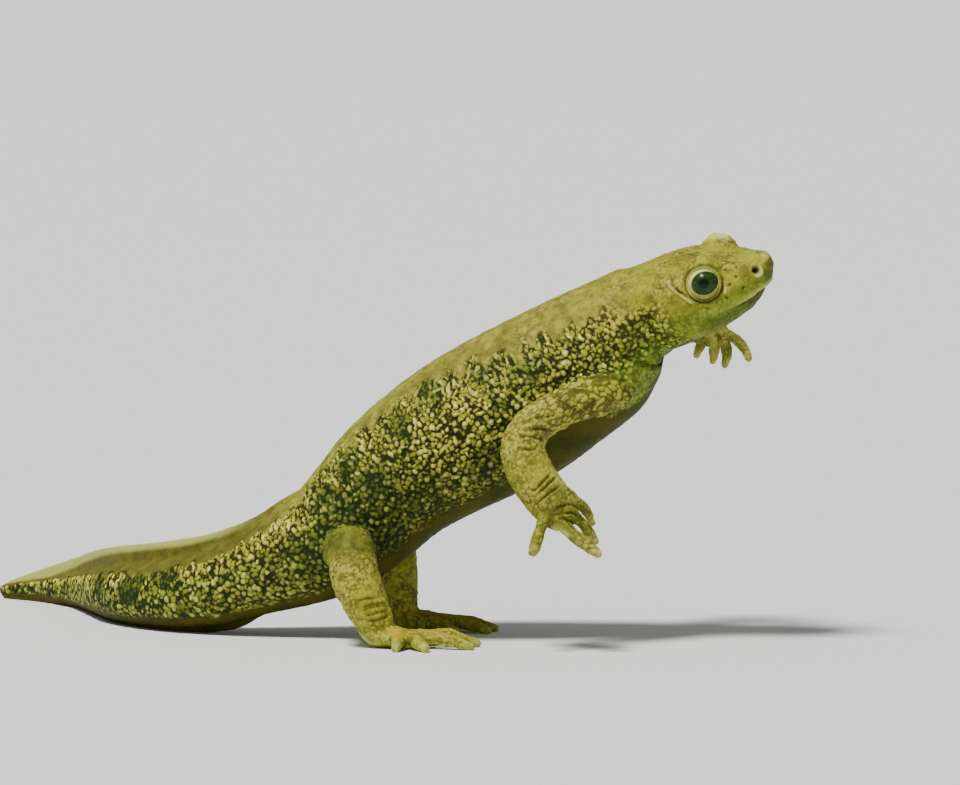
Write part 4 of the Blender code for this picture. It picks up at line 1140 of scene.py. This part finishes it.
class Graph:
    def __init__(self, name):
        self.material = bpy.data.materials.new(name)
        self.material.use_nodes = True
        self.tree = self.material.node_tree
        self.tree.nodes.clear()

    def node(self, kind, settings=None, values=None, output=0):
        made = self.tree.nodes.new(kind)
        for key, value in (settings or {}).items():
            setattr(made, key, value)
        for key, value in (values or {}).items():
            if isinstance(value, Wire):
                self.tree.links.new(value.socket, made.inputs[key])
            else:
                made.inputs[key].default_value = value
        return Wire(self, made.outputs[output])

    def mask(self, name):
        return self.node("ShaderNodeAttribute", {"attribute_name": name}, output="Fac")

    def blend(self, factor, first, second):
        def shade(value):
            return value if isinstance(value, Wire) else (*value, 1)
        return self.node("ShaderNodeMix", {"data_type": "RGBA"},
                         {0: factor, 6: shade(first), 7: shade(second)}, output=2)

    def layers(self, colour, *tops):
        for factor, top in tops:
            colour = self.blend(factor, colour, top)
        return colour

    def rise(self, value, low, high):
        return self.node("ShaderNodeMapRange", {"interpolation_type": "SMOOTHSTEP"},
                         {"Value": value, "From Min": low, "From Max": high})

    def noise(self, scale, detail=3.0, seed=0.0):
        place = self.node("ShaderNodeTexCoord", output="Object")
        return self.node("ShaderNodeTexNoise", {"noise_dimensions": "4D"},
                         {"Vector": place, "W": seed, "Scale": scale, "Detail": detail})

    def finish(self, values, constants):
        shader = self.node("ShaderNodeBsdfPrincipled", None, {**values, **constants})
        out = self.tree.nodes.new("ShaderNodeOutputMaterial")
        self.tree.links.new(shader.socket, out.inputs["Surface"])
        return self.material


skinLook = {
    "wartTop": (0.72, 0.68, 0.125), "wartWarm": (0.42, 0.385, 0.048), "grainTop": (0.41, 0.39, 0.042),
    # The hollow colour is painted shade between granules; the speck colour is a painted highlight on wart
    # tips
    "hollowShade": (0.020, 0.022, 0.003), "tipHighlight": (0.92, 0.90, 0.38),
    "wartGreen": (0.28, 0.39, 0.035), "hollowShadeGreen": (0.010, 0.030, 0.003),
    "leaf": (0.12, 0.165, 0.013), "cheekGreen": (0.20, 0.285, 0.020),
    # The dip colour is painted shadow between the ribs
    "back": (0.37, 0.345, 0.046), "backDark": (0.145, 0.14, 0.018), "ribShadowColour": (0.035, 0.042, 0.005),
    # The belly colour is painted shade standing for the underside; the dark green after it serves blotches
    # and painted shade
    "finDark": (0.072, 0.07, 0.010), "belly": (0.070, 0.060, 0.004), "blotchesAndShade": (0.012, 0.028, 0.004),
    # The armGrooveShade colour is painted shade between the upper arm's granules
    "limb": (0.45, 0.425, 0.062), "limbDark": (0.145, 0.14, 0.017), "armGrooveShade": (0.040, 0.042, 0.005),
    "neckLow": (0.085, 0.082, 0.009), "shade": (0.080, 0.092, 0.010),
    "head": (0.39, 0.34, 0.043), "headDark": (0.12, 0.105, 0.013), "cheek": (0.34, 0.345, 0.028),
    # The crease colour is painted shade for grooves, pits, holes and creases
    "pale": (0.77, 0.78, 0.20), "recessShadeColour": (0.008, 0.009, 0.001), "warm": (0.42, 0.28, 0.012),
    "roughness": 0.64, "coat": 0.04,
}


def skinMaterial():
    g = Graph("skin_wet_olive")
    look = skinLook
    crest, grain, tone = g.mask("crest"), g.mask("grain"), g.mask("tone")
    recessShade, pale, green, blotchesAndShade = (g.mask(name) for name in ("recessShade", "pale", "green", "blotchesAndShade"))
    broad, middle, fine = g.noise(230.0, 4.0), g.noise(800.0, 3.0, 1.3), g.noise(2600.0, 3.0, 2.1)
    neck = g.mask("neck")
    top = g.layers(look["wartTop"],
                   (g.rise(tone + fine * 0.6, 0.45, 1.15), look["wartWarm"]),
                   (neck * 0.6, look["wartWarm"]),
                   (green * 0.7, look["wartGreen"]),
                   # painted highlights on the tips of the tallest warts
                   (g.rise(crest + fine * 0.5, 0.85, 1.2) * (1 - neck * 0.7) * 0.5, look["tipHighlight"]))
    # painted shade in the hollows between granules and warts
    low = g.layers(look["hollowShade"], (green, look["hollowShadeGreen"]),
                   (neck * g.rise(broad, 0.35, 0.6) * 0.6, look["neckLow"]))
    ground = g.blend(g.rise(grain + fine * 0.5, 0.4, 1.0), low,
                     g.blend(green * 0.6, look["grainTop"], look["leaf"]))
    leafy = g.blend(g.rise(crest * 0.3 + fine * 0.5 + middle * 0.5, 0.4, 0.8), look["leaf"],
                    look["wartGreen"])
    flank = g.layers(ground,
                     (g.rise(crest + fine * 0.5, 0.42, 0.95), top),
                     # dark green blotches and darker lower rear flank
                     (blotchesAndShade * (1 - crest * 0.7) * 0.7, look["blotchesAndShade"]),
                     # painted shade under the elbow and rear flank, with the dark patches
                     (g.mask("shadeBelowAndPatches") * 0.6, look["blotchesAndShade"]),
                     (g.mask("leafy") * g.rise(middle, 0.25, 0.6) * 0.8, leafy))
    back = g.layers(look["backDark"],
                    (g.rise(middle + fine * 0.5, 0.54, 0.94), look["back"]),
                    (g.rise(broad, 0.46, 0.64) * 0.4, look["backDark"]),
                    (g.mask("fin") * 0.75, look["finDark"]))
    # painted shade for the underside, mottled darker green
    belly = g.blend(g.rise(broad, 0.4, 0.65) * 0.6, look["belly"], look["blotchesAndShade"])
    rough = g.rise(middle * 0.7 + fine * 0.7 + grain * 0.25, 0.6, 0.95)
    face = g.layers(look["headDark"],
                    (rough, look["head"]),
                    (g.rise(broad, 0.42, 0.62) * 0.6, look["cheek"]),
                    (g.rise(g.noise(420.0, 4.0, 3.7), 0.5, 0.66) * 0.55, look["headDark"]),
                    (green * 0.9, g.blend(rough, look["leaf"], look["cheekGreen"])),
                    # painted shade under the jaw and on the snout's front
                    (blotchesAndShade * 0.8, look["blotchesAndShade"]))
    # painted shade between the upper arm's granules
    shadeBetweenGrains = 1 - g.rise(grain + fine * 0.4, 0.3, 0.75)
    leg = g.layers(look["limbDark"],
                   (g.rise(fine * 0.8 + middle * 0.7 + grain * 0.3, 0.70, 1.0), look["limb"]),
                   (g.rise(broad + middle * 0.4, 0.6, 0.85) * 0.5, look["cheek"]),
                   (g.mask("arm") * shadeBetweenGrains * 0.7, look["armGrooveShade"]),
                   (g.mask("shade") * g.rise(broad + middle + fine * 0.5, 0.9, 1.4) * 0.95, look["shade"]),
                   (g.mask("warm") * g.rise(middle, 0.3, 0.6) * 0.7, look["warm"]))
    skin = g.layers(flank,
                    (g.mask("back"), back),
                    # painted shadows between the ribs
                    (g.mask("ribShadows") * g.rise(middle, 0.3, 0.6) * 0.65, look["ribShadowColour"]),
                    # the underside's painted shade
                    (g.mask("under"), belly),
                    (g.mask("headness"), face),
                    (g.mask("limb"), leg),
                    (pale * 0.9, look["pale"]),
                    # painted shade in the mouth line, nostrils, pores, fold grooves, lid groove and limb
                    # creases
                    (recessShade * 0.95, look["recessShadeColour"]))
    pebble = g.node("ShaderNodeTexVoronoi", {"feature": "SMOOTH_F1"},
                    {"Vector": g.node("ShaderNodeTexCoord", output="Object"), "Scale": 3000.0,
                     "Smoothness": 0.6}, output="Distance")
    height = (1 - pebble) * 0.5 + fine * 0.6 + middle * 0.6
    bumped = g.node("ShaderNodeBump", None, {"Strength": 0.65, "Distance": 0.00015, "Height": height})
    matt = g.rise(middle, 0.2, 0.8) * 0.16 + (look["roughness"] - 0.08)
    wet = g.rise(crest + grain * 0.3, 0.2, 0.8) * look["coat"] + 0.01
    return g.finish({"Base Color": skin, "Roughness": matt, "Coat Weight": wet, "Normal": bumped},
                    {"Coat Roughness": 0.3, "Specular IOR Level": 0.08})


eyeLook = {
    "pupil": (0.004, 0.010, 0.002), "iris": (0.017, 0.036, 0.005), "fleck": (0.045, 0.075, 0.016),
    "roughness": 0.30,
}


def eyeMaterial():
    g = Graph("eye_wet_dark")
    look = eyeLook
    iris = g.blend(g.rise(g.noise(2600.0, 4.0), 0.48, 0.68) * 0.9, look["iris"], look["fleck"])
    shade = g.blend(g.rise(g.mask("ring"), 0.22, 0.42), look["pupil"], iris)
    return g.finish({"Base Color": shade},
                    {"Roughness": look["roughness"], "Specular IOR Level": 0.12, "Coat Weight": 0.14,
                     "Coat Roughness": 0.10})


def makeEye(side, name):
    mesh = bmesh.new()
    bmesh.ops.create_uvsphere(mesh, u_segments=96, v_segments=64, radius=eye["radius"] - 0.01)
    made = objectFrom(mesh, name)
    points = readPoints(made)
    axis = eyeAxis(side)
    radial = lengthsOf(points[:, :2]) / eye["radius"]
    ring = np.where(points[:, 2] > 0, radial, 2.0)
    turn = np.array(Vector((0, 0, 1)).rotation_difference(Vector(axis)).to_matrix())
    setPoints(made, (points @ turn.T + eyeCentre(side) + shift) * mm)
    addLayer(made, "ring", ring)
    made.data.shade_smooth()
    return made


# Camera, floor and light
view = {"azimuth": 10.0, "elevation": 4.0, "distance": 0.9, "target": (17.019, 0.0, 30.512),
        "pixelsPerMm": 8.1, "width": 960}
studio = {"floor": (0.84, 0.84, 0.82), "floorRadius": 12.0, "floorDrop": 0.00002,
          "world": (0.80, 0.82, 0.84), "worldStrength": 0.32,
          "key": 4.5, "keyFrom": (-0.22, -0.42, 1.0), "keySoftness": 13.0}


def lookFrom(name, data, place, back):
    made = bpy.data.objects.new(name, data)
    made.location, made.rotation_mode = place, "QUATERNION"
    made.rotation_quaternion = (-back).to_track_quat("-Z", "Y")
    bpy.context.scene.collection.objects.link(made)
    return made


def makeCamera():
    azimuth, elevation = math.radians(view["azimuth"]), math.radians(view["elevation"])
    back = Vector((math.sin(azimuth) * math.cos(elevation), -math.cos(azimuth) * math.cos(elevation),
                   math.sin(elevation)))
    data = bpy.data.cameras.new("camera")
    data.sensor_width = 36
    data.lens = 36 * view["distance"] / (view["width"] * mm / view["pixelsPerMm"])
    data.clip_start, data.clip_end = 0.01, 50
    place = Vector((np.array(view["target"]) + shift) * mm) + back * view["distance"]
    bpy.context.scene.camera = lookFrom("camera", data, place, back)


def makeStudio():
    mesh = bmesh.new()
    bmesh.ops.create_circle(mesh, cap_ends=True, segments=96, radius=studio["floorRadius"])
    bmesh.ops.translate(mesh, verts=mesh.verts, vec=(0, 0, -studio["floorDrop"]))
    floor = objectFrom(mesh, "floor")
    g = Graph("floor_pale")
    shade = g.blend(g.noise(1.5, 3.0) * 0.15, studio["floor"], [0.94 * v for v in studio["floor"]])
    floor.data.materials.append(g.finish({"Base Color": shade}, {"Roughness": 0.9}))
    floor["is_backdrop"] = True
    world = bpy.data.worlds.new("studio")
    world.use_nodes = True
    sky = world.node_tree.nodes["Background"]
    sky.inputs["Color"].default_value = (*studio["world"], 1)
    sky.inputs["Strength"].default_value = studio["worldStrength"]
    bpy.context.scene.world = world
    key = bpy.data.lights.new("key", "SUN")
    key.energy, key.angle = studio["key"], math.radians(studio["keySoftness"])
    lookFrom("key", key, Vector(studio["keyFrom"]) * 0.4, Vector(studio["keyFrom"]))


makeCamera()
makeStudio()
print("camera and studio made")
skin = shapeSkin()
skin.data.materials.clear()
skin.data.materials.append(skinMaterial())
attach(skin, "root")
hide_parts("head", "torso", "tail", "foreleg_right", "foreleg_left", "forefoot_right",
            "forefoot_left", "hindleg_right", "hindleg_left", "hindfoot_right", "hindfoot_left")
eyeFinish = eyeMaterial()
for side, name in ((1, "right"), (-1, "left")):
    made = makeEye(side, "eyeball_" + name)
    made.data.materials.append(eyeFinish)
    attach(made, "root")
    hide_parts("eye_" + name)
print("eyes made")

low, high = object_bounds()
